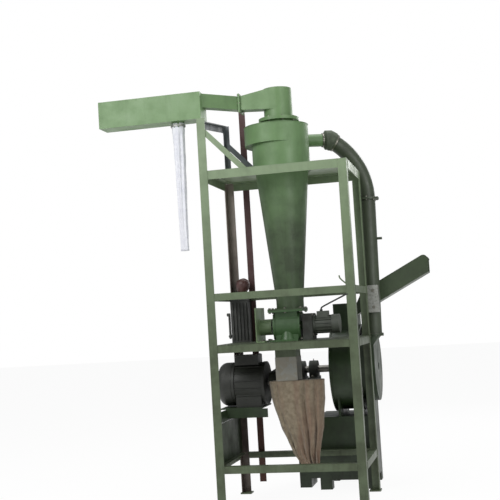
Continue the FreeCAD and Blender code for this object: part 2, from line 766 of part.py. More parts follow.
def rubber_sleeve():
    """The bulging boot over the stub's end and the bend's end, mitred where the two lines meet."""
    wall = S.sleeve_wall
    past = S.sleeve_radius * math.tan(KINK_DIP / 2) + 10
    flat = past + 2
    slack = 2.2
    size = 8 * S.sleeve_radius
    middle = (INLET_WAY + KINK_WAY).normalize()
    halves = []
    for way, radius, keep in ((INLET_WAY * -1, S.stub_radius + S.shaft_gap, middle * -1),
                              (KINK_WAY, S.pipe_radius + slack, middle)):
        half = Part.makeCylinder(S.sleeve_radius, past + flat, KINK - way * past, way)
        cuff_start = KINK + way * S.sleeve_taper
        cuff = Part.makeCylinder(radius + wall, S.sleeve_reach - S.sleeve_taper, cuff_start, way)
        shoulder = Part.makeCone(S.sleeve_radius, radius + wall, S.sleeve_taper - flat,
                                 KINK + way * flat, way)
        room = Part.makeCylinder(S.sleeve_radius - wall, past + flat, KINK - way * past, way)
        way_out = Part.makeCylinder(radius, 2 * S.sleeve_reach, KINK - way * past, way)
        half = half.fuse([shoulder, cuff]).cut(room.fuse(way_out))
        turn = Rotation(Vector(0, 0, 1), keep)
        space = Part.makeBox(size, size, size)
        space.Placement = Placement(KINK - turn.multVec(Vector(size / 2, size / 2, 0)), turn)
        halves.append(half.common(space))
    return halves[0].fuse(halves[1]).removeSplitter()


part("rubber_sleeve", shaped("sleeve", rubber_sleeve()))

bend_start = (S.kink_reach + S.kink_gap * math.cos(KINK_DIP), INLET_LEVEL - S.kink_gap * math.sin(KINK_DIP))
pipe_bend, bend_end = torus_pipe(bend_start[0], bend_start[1], S.kink_turn, S.bend_turn, S.bend_radius,
                                 S.pipe_radius, S.pipe_wall)
RISER_DIP = math.radians(S.kink_turn + S.bend_turn)
RISER_WAY = INLET_WAY * math.cos(RISER_DIP) + Vector(0, 0, -math.sin(RISER_DIP))
RISER_TOP = plane_point(*bend_end)
RISER_LENGTH = (RISER_TOP.z - S.riser_foot_level) / math.sin(RISER_DIP)
RISER_FOOT = RISER_TOP + RISER_WAY * RISER_LENGTH


def pipe_flange(base, radius):
    """A flange ring on the riser's line from its upper face."""
    ring = Part.makeCylinder(radius, S.pipe_flange_wall, base, RISER_WAY)
    return ring.cut(Part.makeCylinder(S.pipe_radius - S.pipe_wall / 2, S.pipe_flange_wall, base, RISER_WAY))


bend_flange = pipe_flange(RISER_TOP - RISER_WAY * S.pipe_flange_wall, S.pipe_flange_radius)
part("pipe_bend", shaped("bend", pipe_bend.fuse(bend_flange).removeSplitter()))


def riser_pipe():
    """The straight riser with its two flanges and the small air nozzle on its right side."""
    pipe = Part.makeCylinder(S.pipe_radius, RISER_LENGTH, RISER_TOP, RISER_WAY)
    bore = Part.makeCylinder(S.pipe_radius - S.pipe_wall, RISER_LENGTH, RISER_TOP, RISER_WAY)
    root = RISER_TOP + RISER_WAY * ((RISER_TOP.z - S.nozzle_level) / math.sin(RISER_DIP))
    nozzle = Part.makeCylinder(S.nozzle_radius, S.pipe_radius + S.nozzle_reach, root, Vector(1, 0, 0))
    nozzle_bore = Part.makeCylinder(S.nozzle_radius - S.pipe_wall, S.pipe_radius + S.nozzle_reach, root,
                                    Vector(1, 0, 0))
    foot = pipe_flange(RISER_FOOT - RISER_WAY * S.pipe_flange_wall, S.foot_flange_radius)
    riser = pipe.fuse(nozzle).cut(bore.fuse(nozzle_bore))
    return riser.fuse([pipe_flange(RISER_TOP, S.pipe_flange_radius), foot]).removeSplitter()


part("riser_pipe", shaped("riser", riser_pipe()))

# Rotary airlock

airlock_low = S.shelf_level + S.deck_wall
X_AXIS = Vector(1, 0, 0)
AIRLOCK_LEFT = S.airlock_x - S.airlock_length / 2


def airlock_body():
    """The cast housing: a round bore along X, a square inlet flange and the outlet on the shelf."""
    half = S.airlock_flange_size / 2
    throat = S.throat_width / 2
    top = S.airlock_level + S.airlock_radius
    start = Vector(AIRLOCK_LEFT, 0, S.airlock_level)
    barrel = Part.makeCylinder(S.airlock_radius, S.airlock_length, start, X_AXIS)
    flange = Part.makeBox(2 * half, 2 * half, S.airlock_flange_wall, Vector(S.airlock_x - half, -half, top))
    upper = Part.makeBox(S.airlock_length, 2 * throat + 20, S.airlock_radius,
                         Vector(AIRLOCK_LEFT, -throat - 10, S.airlock_level))
    foot_x = S.spout_width / 2 + 24
    foot_y = S.spout_depth / 2 + 24
    foot = Part.makeBox(2 * foot_x, 2 * foot_y, S.airlock_flange_wall,
                        Vector(S.spout_x - foot_x, -foot_y, airlock_low))
    lower = Part.makeBox(S.airlock_length, 2 * throat + 20, S.airlock_level - airlock_low,
                         Vector(AIRLOCK_LEFT, -throat - 10, airlock_low))
    flare = Part.makeCone(throat * 0.8, throat * 0.45, S.airlock_radius * 0.8,
                          Vector(S.airlock_x, -throat * 0.75, airlock_low + S.airlock_flange_wall))
    bore = Part.makeCylinder(S.airlock_bore_radius, S.airlock_length, start, X_AXIS)
    way_in = Part.makeCylinder(throat - 5, S.airlock_radius * 2, Vector(S.airlock_x, 0, S.airlock_level))
    way_out = Part.makeBox(2 * throat - 40, 2 * throat, S.airlock_radius * 2,
                           Vector(S.spout_x - throat + 20, -throat, S.airlock_level - S.airlock_radius * 2))
    housing = barrel.fuse([flange, upper, foot, lower, flare])
    return housing.cut(bore).cut(way_in).cut(way_out).removeSplitter()


part("airlock_body", shaped("airlock_housing", airlock_body()))

COVER_SPAN = "(4 * airlock_radius)"
for side, node in ((-1, "airlock_cover_left"), (1, "airlock_cover_right")):
    face = f"airlock_x + {side} * airlock_length / 2"
    start = face if side > 0 else f"{face} - airlock_cover_wall"
    disc = rod(node + "_disc", "x", start, 0, "airlock_level", "airlock_radius + 6", "airlock_cover_wall")
    boss_start = start if side > 0 else f"{start} - cover_boss_height"
    boss = rod(node + "_boss", "x", boss_start, 0, "airlock_level", "airlock_shaft_radius * 2.2",
               "airlock_cover_wall + cover_boss_height")
    hole = rod(node + "_hole", "x", "airlock_x - airlock_length", 0, "airlock_level",
               "airlock_shaft_radius + shaft_gap", "2 * airlock_length")
    above = box(node + "_top_flat", f"{face} - airlock_length / 2", f"-{COVER_SPAN} / 2",
                "airlock_level + airlock_radius - seat_gap", "airlock_length", COVER_SPAN, "airlock_radius")
    below = box(node + "_low_flat", f"{face} - airlock_length / 2", f"-{COVER_SPAN} / 2",
                "shelf_level + deck_wall + airlock_flange_wall + seat_gap - airlock_radius", "airlock_length",
                COVER_SPAN, "airlock_radius")
    part(node, cut(node + "_cast", fuse(node + "_blank", disc, boss), hole, above, below))

SHAFT_LEFT = "pedestal_x - 34"
GEAR_LEFT = "airlock_x + airlock_length / 2 + airlock_cover_wall + 18"
SHAFT_LENGTH = f"{GEAR_LEFT} + gear_head_length * 0.6 - ({SHAFT_LEFT})"
shaft = rod("airlock_axle", "x", SHAFT_LEFT, 0, "airlock_level", "airlock_shaft_radius", SHAFT_LENGTH)
ROTOR_LEFT = "airlock_x - airlock_length / 2 + running_gap"
ROTOR_LENGTH = "airlock_length - 2 * running_gap"
hub = rod("airlock_hub", "x", ROTOR_LEFT, 0, "airlock_level", "airlock_shaft_radius * 2", ROTOR_LENGTH)
vanes = []
for index in range(int(S.vane_count)):
    vane = box(f"vane_{index}", ROTOR_LEFT, 0, "airlock_level", ROTOR_LENGTH,
               "airlock_bore_radius - running_gap", "vane_wall")
    turn = Rotation(X_AXIS, 360 / S.vane_count * index)
    vanes.append(place(vane, ROTOR_LEFT, 0, "airlock_level", turn))
part("airlock_rotor", fuse("rotor", shaft, hub, *vanes))

pedestal = box("pedestal_plate", "pedestal_x - pedestal_wall / 2", "-pedestal_depth / 2",
               "shelf_level + deck_wall", "pedestal_wall", "pedestal_depth", "pedestal_height")
pedestal_foot = box("pedestal_foot", "pedestal_x", "-pedestal_depth / 2", "shelf_level + deck_wall", 60,
                    "pedestal_depth", "pedestal_wall")
bearing = rod("pedestal_bearing", "x", "pedestal_x - 30", 0, "airlock_level",
              "airlock_shaft_radius * 2.5", 60)
HOUSING_LENGTH = ("airlock_x - airlock_length / 2 - airlock_cover_wall - cover_boss_height - bearing_gap"
                  " - pedestal_x")
housing = rod("pedestal_housing", "x", "pedestal_x", 0, "airlock_level", "bearing_radius", HOUSING_LENGTH)
pedestal_hole = rod("pedestal_hole", "x", "pedestal_x - 100", 0, "airlock_level",
                    "airlock_shaft_radius + shaft_gap", "airlock_length + 100")
part("airlock_pedestal", cut("pedestal", fuse("pedestal_blank", pedestal, pedestal_foot, bearing, housing),
                             pedestal_hole))

head_block = box("gear_block", GEAR_LEFT, "-gear_head_size / 2", "airlock_level - gear_head_size / 2",
                 "gear_head_length", "gear_head_size", "gear_head_size")
head_foot = box("gear_foot", GEAR_LEFT, "-gear_head_size / 2", "shelf_level + deck_wall", "gear_head_length",
                "gear_head_size", "airlock_level - gear_head_size / 2 - shelf_level - deck_wall + 10")
head_bore = rod("gear_bore", "x", GEAR_LEFT + " - 10", 0, "airlock_level", "airlock_shaft_radius + shaft_gap",
                "gear_head_length * 0.7 + 10")
part("gear_head", cut("gear_case", fuse("gear_blank", head_block, head_foot), head_bore))
GEAR_RIGHT = GEAR_LEFT + " + gear_head_length"
gear_barrel = rod("gear_motor_barrel", "x", GEAR_RIGHT, 0, "airlock_level", "gear_motor_radius - fin_height",
                  "gear_motor_length")
gear_cowl = rod("gear_motor_cowl", "x", GEAR_RIGHT + " + gear_motor_length - gear_cowl_length", 0,
                "airlock_level", "gear_motor_radius", "gear_cowl_length")
gear_nose = rod("gear_motor_nose", "x", GEAR_RIGHT, 0, "airlock_level", "gear_motor_radius",
                "gear_cowl_length / 4")
gear_box = box("gear_motor_box", GEAR_RIGHT + " + 30", "-gear_motor_radius * 0.6",
               "airlock_level + gear_motor_radius - fin_height * 2", 80, "gear_motor_radius * 1.2",
               "gear_motor_radius * 0.7")


def fins(name, left, y, level, length, reach):
    """Cooling fins that stand out along a motor's barrel."""
    blades = []
    for index in range(int(S.fin_count)):
        blade = box(f"{name}_{index}", left, y, level, length, reach, "fin_wall")
        blades.append(place(blade, left, y, level, Rotation(X_AXIS, 360 / S.fin_count * (index + 0.5))))
    return blades


gear_fins = fins("gear_fin", GEAR_RIGHT, 0, "airlock_level", "gear_motor_length - gear_cowl_length / 2",
                 "gear_motor_radius - 2")
part("gear_motor", fuse("gear_motor_case", gear_barrel, gear_cowl, gear_nose, gear_box, *gear_fins))

# Discharge spout below the shelf and the product bag that hangs from it

spout_outer = box("spout_outer", "spout_x - spout_width / 2", "-spout_depth / 2", "spout_foot_level",
                  "spout_width", "spout_depth", "spout_top_level - spout_foot_level")
spout_inner = box("spout_inner", "spout_x - spout_width / 2 + spout_wall", "-spout_depth / 2 + spout_wall",
                  "spout_foot_level - 10", "spout_width - 2 * spout_wall", "spout_depth - 2 * spout_wall",
                  "spout_top_level - spout_foot_level + 20")
part("discharge_spout", cut("spout_tube", spout_outer, spout_inner))


def ellipse_wire(x, y, z, half_wide, half_deep):
    """A level ellipse about a point."""
    curve = Part.Ellipse(Vector(), max(half_wide, half_deep), min(half_wide, half_deep))
    wire = Part.Wire(curve.toShape())
    if half_deep > half_wide:
        wire.rotate(Vector(), Vector(0, 0, 1), 90)
    wire.translate(Vector(x, y, z))
    return wire


def product_bag():
    """The cloth bag below the spout, drawn as a closed solid that narrows to its tied neck."""
    top = S.spout_foot_level - S.seat_gap
    lean = S.bag_half_width * 0.21
    rows = [
        (S.bag_x, top, S.bag_half_width, S.bag_half_depth),
        (S.bag_x + lean, S.bag_neck_level, S.bag_half_width * 0.44, S.bag_half_depth * 0.6),
        (S.bag_x + lean * 1.4, S.bag_tail_level, S.bag_half_width * 0.33, S.bag_half_depth * 0.5),
    ]
    return Part.makeLoft([ellipse_wire(x, S.bag_y, z, a, b) for x, z, a, b in rows], True, True)


part("product_bag", shaped("product_bag_solid", product_bag()))

# Main motor on its platform in the left bay, with a sheet that closes the stand's left side below it

MOTOR_Y = S.stand_depth / 2 - S.motor_behind
MOTOR_RULE = "(stand_depth / 2 - motor_behind)"
MOTOR_LEFT = S.motor_right_x - S.motor_body_length - S.motor_cowl_length
FRAME_LEFT = "motor_right_x - motor_body_length"
PLATE_TOP = "(motor_axis_level - motor_radius - 8)"
PLATE_LOW = "(motor_axis_level - motor_radius - 8 - motor_plate_wall)"
REAR_REACH = "upright_x + rail_width + stand_width / 2 - leg_width"
platform_plate = box("platform_plate", "-stand_width / 2 - 40", f"{MOTOR_RULE} - motor_plate_depth / 2",
                     PLATE_LOW, "stand_width / 2 + 20 + motor_right_x", "motor_plate_depth",
                     "motor_plate_wall")
bearer_left = box("bearer_left", "-stand_width / 2", "-stand_depth / 2 + leg_width",
                  f"{PLATE_LOW} - bearer_height", "rail_wall", "stand_depth - 2 * leg_width", "bearer_height")
bearer_front = box("bearer_front", "-stand_width / 2", f"{MOTOR_RULE} - motor_plate_depth / 2",
                   f"{PLATE_LOW} - bearer_height * 0.8", "stand_width / 2 + motor_right_x + 20", "rail_wall",
                   "bearer_height * 0.8")
bearer_rear = box("bearer_rear", "-stand_width / 2 + leg_width", "stand_depth / 2 - rail_wall",
                  f"{PLATE_LOW} - rail_width", REAR_REACH, "rail_wall", "rail_width")
bearer_web = box("bearer_web", "-stand_width / 2 + leg_width", f"{MOTOR_RULE} + motor_plate_depth / 2 - 40",
                 f"{PLATE_LOW} - 30", REAR_REACH, "motor_behind - motor_plate_depth / 2 + 40", 30)
part("motor_platform", fuse("platform", platform_plate, bearer_left, bearer_front, bearer_rear, bearer_web))

part("side_panel", box("side_sheet", "-stand_width / 2 + leg_wall + seat_gap",
                       "-stand_depth / 2 + leg_wall + 1", "bottom_level + seat_gap", "sheet_wall",
                       "stand_depth - 2 * leg_wall - 2",
                       f"{PLATE_LOW} - bearer_height - bottom_level - 2 * seat_gap"))

motor_barrel = rod("motor_barrel", "x", FRAME_LEFT, MOTOR_RULE, "motor_axis_level",
                   "motor_radius - fin_height", "motor_body_length")
motor_feet = box("motor_feet", FRAME_LEFT + " + 30", f"{MOTOR_RULE} - motor_radius * 0.8", PLATE_TOP,
                 "motor_body_length - 60", "motor_radius * 1.6", "motor_radius * 0.6")
motor_rims = [rod(f"motor_rim_{index}", "x", f"{FRAME_LEFT} + {index} * (motor_body_length - 22)", MOTOR_RULE,
                  "motor_axis_level", "motor_radius", 22) for index in range(2)]
terminal = box("motor_terminal_box", FRAME_LEFT + " + 20", f"{MOTOR_RULE} - motor_radius * 0.45",
               "motor_axis_level + motor_radius - 20", 180, "motor_radius * 0.9", 75)
motor_bore = rod("motor_bore", "x", FRAME_LEFT + " - 50", MOTOR_RULE, "motor_axis_level",
                 "motor_shaft_radius + shaft_gap", "motor_body_length + 100")
motor_fins = fins("motor_fin", FRAME_LEFT, MOTOR_RULE, "motor_axis_level", "motor_body_length",
                  "motor_radius - 2")
motor_blank = fuse("motor_blank", motor_barrel, motor_feet, terminal, *motor_rims, *motor_fins)
part("motor_frame", cut("motor_case", motor_blank, motor_bore))


def motor_cowl():
    """The domed fan cowl at the motor's left end, with a ring of air slots in its face."""
    outer = S.motor_radius + 3
    dome = 60.0
    wall = 6.0
    length = S.motor_cowl_length
    middle = dome * (1 - math.sqrt(0.5))
    corners = [Vector(length, 0, outer), Vector(dome, 0, outer), Vector(0, 0, outer - dome), Vector(),
               Vector(wall, 0, 0), Vector(wall, 0, outer - dome), Vector(dome, 0, outer - wall),
               Vector(length, 0, outer - wall), Vector(length, 0, outer)]
    edges = [Part.LineSegment(first, second).toShape() for first, second in zip(corners, corners[1:])]
    edges[1] = Part.Arc(corners[1], Vector(middle, 0, outer - middle), corners[2]).toShape()
    cowl = Part.Face(Part.Wire(edges)).revolve(Vector(), X_AXIS, 360)
    slot_count = 8
    for index in range(slot_count):
        slot = Part.makeBox(3 * wall, 12, 52, Vector(-wall, -6, 34))
        slot.rotate(Vector(), X_AXIS, 360 / slot_count * index)
        cowl = cowl.cut(slot)
    cowl.translate(Vector(MOTOR_LEFT - S.seat_gap, MOTOR_Y, S.motor_axis_level))
    return cowl


part("motor_cowl", shaped("cowl", motor_cowl()))

FAN_LEFT = FRAME_LEFT + " - 58"
fan_hub = rod("fan_hub", "x", FAN_LEFT, MOTOR_RULE, "motor_axis_level", 40, 38)
fan_blades = []
for index in range(6):
    blade = box(f"fan_blade_{index}", FAN_LEFT, MOTOR_RULE, "motor_axis_level", 36, "motor_radius * 0.75", 4)
    fan_blades.append(place(blade, FAN_LEFT, MOTOR_RULE, "motor_axis_level", Rotation(X_AXIS, 60 * index)))
fan_bore = rod("fan_bore", "x", FRAME_LEFT + " - 90", MOTOR_RULE, "motor_axis_level",
               "motor_shaft_radius + shaft_gap", 90)
part("motor_fan", cut("fan", fuse("fan_blank", fan_hub, *fan_blades), fan_bore))
part("motor_shaft", rod("motor_axle", "x", FRAME_LEFT + " - 70", MOTOR_RULE, "motor_axis_level",
                        "motor_shaft_radius", "motor_body_length + 70 + pulley_x + 46 - motor_right_x"))


GROOVE_SLOPE = math.tan(math.radians(19))
GROOVE_HALF = S.belt_width / 2 + 0.5
PULLEY_RIM = 3


def grooved_pulley(y, z, radius, bore):
    """A belt pulley along X with wedge grooves."""
    width = S.groove_count * S.groove_pitch + 2 * PULLEY_RIM
    left = S.pulley_x - width / 2
    half_low = GROOVE_HALF - S.groove_depth * GROOVE_SLOPE
    points = [(left, bore), (left, radius)]
    for index in range(int(S.groove_count)):
        centre = left + PULLEY_RIM + S.groove_pitch * (index + 0.5)
        points += [(centre - GROOVE_HALF, radius), (centre - half_low, radius - S.groove_depth),
                   (centre + half_low, radius - S.groove_depth), (centre + GROOVE_HALF, radius)]
    points += [(left + width, radius), (left + width, bore)]
    wire = Part.makePolygon([Vector(x, 0, r) for x, r in points + points[:1]])
    wheel = Part.Face(wire).revolve(Vector(), X_AXIS, 360)
    wheel.translate(Vector(0, y, z))
    return wheel


MILL_AXIS_Y = RISER_FOOT.y + S.fan_radius - S.fan_outlet_depth / 2
motor_pulley = grooved_pulley(MOTOR_Y, S.motor_axis_level, S.motor_pulley_radius, S.motor_shaft_radius)
part("motor_pulley", shaped("motor_pulley_wheel", motor_pulley))
mill_pulley = grooved_pulley(MILL_AXIS_Y, S.mill_axis_level, S.mill_pulley_radius, S.mill_shaft_radius)
part("mill_pulley", shaped("mill_pulley_wheel", mill_pulley))

BELT_SINK = S.groove_depth - 2.5


def belt_loop(centre_x):
    """One wedge belt round both pulleys, seated in its grooves."""
    first = Vector(0, MOTOR_Y, S.motor_axis_level)
    second = Vector(0, MILL_AXIS_Y, S.mill_axis_level)
    way = second.sub(first)
    span = way.Length
    way.normalize()
    normal = Vector(0, -way.z, way.y)
    big = S.motor_pulley_radius - BELT_SINK
    small = S.mill_pulley_radius - BELT_SINK
    slope = math.asin((big - small) / span)
    above = normal * math.cos(slope) + way * math.sin(slope)
    below = normal * -math.cos(slope) + way * math.sin(slope)
    edges = [
        Part.LineSegment(first + above * big, second + above * small).toShape(),
        Part.Arc(second + above * small, second + way * small, second + below * small).toShape(),
        Part.LineSegment(second + below * small, first + below * big).toShape(),
        Part.Arc(first + below * big, first - way * big, first + above * big).toShape(),
    ]
    half_low = GROOVE_HALF - BELT_SINK * GROOVE_SLOPE - S.belt_gap
    half_top = half_low + S.belt_height * GROOVE_SLOPE
    seat = first + above * big
    section = [seat + Vector(side * half, 0, 0) + above * rise for side, half, rise in (
        (-1, half_low, 0), (1, half_low, 0), (1, half_top, S.belt_height), (-1, half_top, S.belt_height))]
    band = Part.Wire(edges).makePipeShell([Part.makePolygon(section + section[:1])], True, False)
    band.translate(Vector(centre_x, 0, 0))
    return band


belts = []
for index in range(int(S.groove_count)):
    belts.append(belt_loop(S.pulley_x + (index - (S.groove_count - 1) / 2) * S.groove_pitch))
part("drive_belts", shaped("belts", Part.makeCompound(belts)))

# Mill: beater drum and fan on one shaft behind the stand

FAN_X = RISER_FOOT.x - S.fan_offset - S.fan_length / 2
DRUM_X = FAN_X - S.seat_gap - S.drum_length
HOPPER_X = DRUM_X + 30
HOPPER_TOP = S.mill_axis_level + S.drum_radius + S.hopper_rise
BEATER_RADIUS = S.drum_radius - S.drum_wall - S.liner_wall - S.beater_gap
BEATER_ROOT = S.beater_disc_radius - S.beater_lap
BASE_TOP = S.mill_axis_level - S.drum_radius - S.mill_base_clearance


def along_x(radius, length, x):
    """A cylinder on the mill's axis."""
    return Part.makeCylinder(radius, length, Vector(x, MILL_AXIS_Y, S.mill_axis_level), X_AXIS)


def mill_drum():
    """The beater drum's round casing with a left end wall and the feed opening on top."""
    wall = S.drum_wall
    rim = 12
    shell = along_x(S.drum_radius, S.drum_length, DRUM_X)
    shell = shell.cut(along_x(S.drum_radius - wall, S.drum_length - wall, DRUM_X + wall))
    shell = shell.cut(along_x(S.mill_shaft_radius + 3, 3 * wall, DRUM_X - wall))
    inset = 10
    feed = Part.makeBox(S.hopper_length - 2 * inset, S.hopper_depth - 2 * inset, S.drum_radius * 2,
                        Vector(HOPPER_X + inset, MILL_AXIS_Y - S.hopper_depth / 2 + inset, S.mill_axis_level))
    shell = shell.cut(feed)
    for x in (DRUM_X, DRUM_X + S.drum_length - rim):
        shell = shell.fuse(along_x(S.drum_radius + rim, rim, x).cut(along_x(S.drum_radius - 1, rim, x)))
    return shell.removeSplitter()


part("mill_drum", shaped("drum", mill_drum()))


def fan_case():
    """The fan casing: a round case whose outlet rises at the front to the riser pipe."""
    wall = S.fan_wall
    front = MILL_AXIS_Y - S.fan_radius
    top = S.riser_foot_level - S.pipe_flange_wall - 70
    rise = top - S.mill_axis_level
    outer = along_x(S.fan_radius, S.fan_length, FAN_X)
    inner = along_x(S.fan_radius - wall, S.fan_length - 2 * wall, FAN_X + wall)
    chute = Part.makeBox(S.fan_length, S.fan_outlet_depth, rise, Vector(FAN_X, front, S.mill_axis_level))
    chute_in = Part.makeBox(S.fan_length - 2 * wall, S.fan_outlet_depth - 2 * wall, rise,
                            Vector(FAN_X + wall, front + wall, S.mill_axis_level))

    def collar(shrink):
        low = [Vector(FAN_X + x, front + y, top) for x, y in (
            (shrink, shrink), (S.fan_length - shrink, shrink),
            (S.fan_length - shrink, S.fan_outlet_depth - shrink), (shrink, S.fan_outlet_depth - shrink))]
        rim = Part.Wire(Part.Circle(RISER_FOOT, RISER_WAY, S.pipe_radius - shrink).toShape())
        return Part.makeLoft([Part.makePolygon(low + low[:1]), rim], True)

    flange = Part.makeCylinder(S.foot_flange_radius, S.pipe_flange_wall, RISER_FOOT, RISER_WAY)
    flange_bore = Part.makeCylinder(S.pipe_radius - wall, 4 * S.pipe_flange_wall,
                                    RISER_FOOT - RISER_WAY * 2 * S.pipe_flange_wall, RISER_WAY)
    eye = along_x(S.fan_radius * 0.42, 3 * wall, FAN_X - wall)
    shaft_way = along_x(S.mill_shaft_radius + 3, 2 * S.fan_length, FAN_X - S.fan_length)
    case = outer.fuse([chute, collar(0)]).cut(inner.fuse([chute_in, collar(wall)])).cut(eye).cut(shaft_way)
    return case.fuse(flange.cut(flange_bore)).removeSplitter()


part("fan_case", shaped("fan_casing", fan_case()))

SHAFT_START = S.pulley_x - 45
SHAFT_END = FAN_X + S.fan_length - 20
part("mill_shaft", shaped("mill_axle", along_x(S.mill_shaft_radius, SHAFT_END - SHAFT_START, SHAFT_START)))


def spokes(count, length, wall, low, high, start):
    """Flat bars round the mill's axis, each from a low to a high radius."""
    bars = []
    for index in range(count):
        bar = Part.makeBox(length, wall, high - low,
                           Vector(start, MILL_AXIS_Y - wall / 2, S.mill_axis_level + low))
        bar.rotate(Vector(start, MILL_AXIS_Y, S.mill_axis_level), X_AXIS, 360 / count * index)
        bars.append(bar)
    return bars


def beater_rotor():
    """Two discs on the shaft that carry the beaters between them at the rim."""
    inset = 60
    overhang = 20
    first = DRUM_X + inset
    second = DRUM_X + S.drum_length - inset - S.beater_disc_wall
    length = second - first + S.beater_disc_wall + 2 * overhang
    discs = along_x(S.beater_disc_radius, S.beater_disc_wall, first).fuse([
        along_x(S.beater_disc_radius, S.beater_disc_wall, second),
        along_x(2 * S.mill_shaft_radius, second - first, first),
        *spokes(int(S.beater_count), length, S.beater_disc_wall, BEATER_ROOT, BEATER_RADIUS,
                first - overhang)])
    return discs.cut(along_x(S.mill_shaft_radius, 2 * S.drum_length, DRUM_X - inset)).removeSplitter()


part("beater_rotor", shaped("beaters", beater_rotor()))


def impeller():
    """The fan wheel: a back plate with straight blades."""
    start = FAN_X + 30
    back_wall = 6
    back_x = FAN_X + S.fan_length - 40
    hub_radius = 2 * S.mill_shaft_radius
    back = along_x(S.impeller_radius, back_wall, back_x)
    hub = along_x(hub_radius, back_x + back_wall - start, start)
    blades = spokes(int(S.blade_count), back_x - start, S.fan_wall, hub_radius - 5, S.impeller_radius, start)
    wheel = back.fuse([hub, *blades])
    return wheel.cut(along_x(S.mill_shaft_radius, 2 * S.fan_length, FAN_X - 50)).removeSplitter()


part("fan_impeller", shaped("fan_wheel", impeller()))


def lined_drum():
    """The wear liner inside the drum, open where the feed comes in."""
    radius = S.drum_radius - S.drum_wall - S.seat_gap
    start = DRUM_X + S.drum_wall + 10
    length = S.drum_length - S.drum_wall - 40
    ring = along_x(radius, length, start).cut(along_x(radius - S.liner_wall, length, start))
    feed = Part.makeBox(S.hopper_length, S.hopper_depth, S.drum_radius * 2,
                        Vector(HOPPER_X, MILL_AXIS_Y - S.hopper_depth / 2, S.mill_axis_level))
    return ring.cut(feed).removeSplitter()


part("drum_liner", shaped("liner", lined_drum()))

BEARING_LEFT = S.pulley_x + 68
BEARING_RIGHT = BEARING_LEFT + S.bearing_span


def bearing_block(start):
    """One plummer block on the mill's pedestal."""
    foot_depth = 230
    web_depth = 130
    length = S.bearing_block_length
    foot = Part.makeBox(length, foot_depth, 30,
                        Vector(start, MILL_AXIS_Y - foot_depth / 2, S.pedestal_top_level))
    web = Part.makeBox(length, web_depth, S.mill_axis_level - S.pedestal_top_level,
                       Vector(start, MILL_AXIS_Y - web_depth / 2, S.pedestal_top_level))
    block = along_x(web_depth / 2 + 3, length, start).fuse([foot, web])
    return block.cut(along_x(S.mill_shaft_radius + S.shaft_gap, 3 * length, start - length)).removeSplitter()


blocks = [bearing_block(BEARING_LEFT), bearing_block(BEARING_RIGHT - S.bearing_block_length)]
part("mill_bearings", shaped("plummer_blocks", Part.makeCompound(blocks)))


def hollow_box(x, y, z, length, depth, height, wall):
    """A sheet box that is open below."""
    outer = Part.makeBox(length, depth, height, Vector(x, y, z))
    inner = Part.makeBox(length - 2 * wall, depth - 2 * wall, height - wall, Vector(x + wall, y + wall, z))
    return outer.cut(inner)


def mill_base():
    """The sheet box under the mill on four feet, its saddle plates and the bearing pedestal."""
    wall = S.mill_base_wall
    right = FAN_X + S.fan_length - S.mill_base_inset
    front = MILL_AXIS_Y - S.mill_base_depth / 2
    low = S.mill_foot_height
    pedestal_depth = 260
    pedestal_left = BEARING_LEFT - 10
    cabinet = hollow_box(S.mill_base_left, front, low, right - S.mill_base_left, S.mill_base_depth,
                         BASE_TOP - low, wall)
    pedestal_x = pedestal_left
    pedestal = hollow_box(pedestal_x, MILL_AXIS_Y - pedestal_depth / 2, low, S.mill_base_left - pedestal_x,
                          pedestal_depth, S.pedestal_top_level - low, wall)
    feet = []
    for x in (S.mill_base_left, right - S.mill_foot_size):
        for y in (front, front + S.mill_base_depth - S.mill_foot_size):
            feet.append(Part.makeBox(S.mill_foot_size, S.mill_foot_size, low + wall, Vector(x, y, 0)))
    feet.append(Part.makeBox(S.mill_foot_size, pedestal_depth, low + wall,
                             Vector(pedestal_x, MILL_AXIS_Y - pedestal_depth / 2, 0)))
    saddles = []
    for x, radius in ((DRUM_X + 40, S.drum_radius), (DRUM_X + S.drum_length - 60, S.drum_radius),
                      (right - S.cradle_wall, S.fan_radius)):
        plate = Part.makeBox(S.cradle_wall, S.mill_base_depth, S.cradle_rise,
                             Vector(x, front, BASE_TOP))
        saddles.append(plate.cut(along_x(radius + S.seat_gap, 100, x - 40)))
    return cabinet.fuse([pedestal, *feet, *saddles]).removeSplitter()


part("mill_base", shaped("base", mill_base()))

TRAY_SLOPE = math.tan(math.radians(S.tray_angle))
TRAY_X = HOPPER_X + S.hopper_length - 12


def feed_hopper():
    """The feed box on the drum, open on the right where the tray comes in."""
    wall = S.hopper_wall
    low = S.mill_axis_level + math.sqrt(S.drum_radius ** 2 - (S.hopper_depth / 2) ** 2) - 40
    front = MILL_AXIS_Y - S.hopper_depth / 2
    outer = Part.makeBox(S.hopper_length, S.hopper_depth, HOPPER_TOP - low, Vector(HOPPER_X, front, low))
    inner = Part.makeBox(S.hopper_length - 2 * wall, S.hopper_depth - 2 * wall, HOPPER_TOP - low,
                         Vector(HOPPER_X + wall, front + wall, low - wall))
    right = HOPPER_X + S.hopper_length
    sill = S.tray_level + (right - wall - TRAY_X) * TRAY_SLOPE - S.seat_gap
    window = Part.makeBox(100, S.hopper_depth - 2 * wall, HOPPER_TOP - 2 * wall - sill,
                          Vector(right - 50, front + wall, sill))
    around_drum = along_x(S.drum_radius + S.seat_gap, S.drum_length, DRUM_X)
    return outer.cut(inner).cut(window).cut(around_drum).removeSplitter()


part("feed_hopper", shaped("hopper", feed_hopper()))


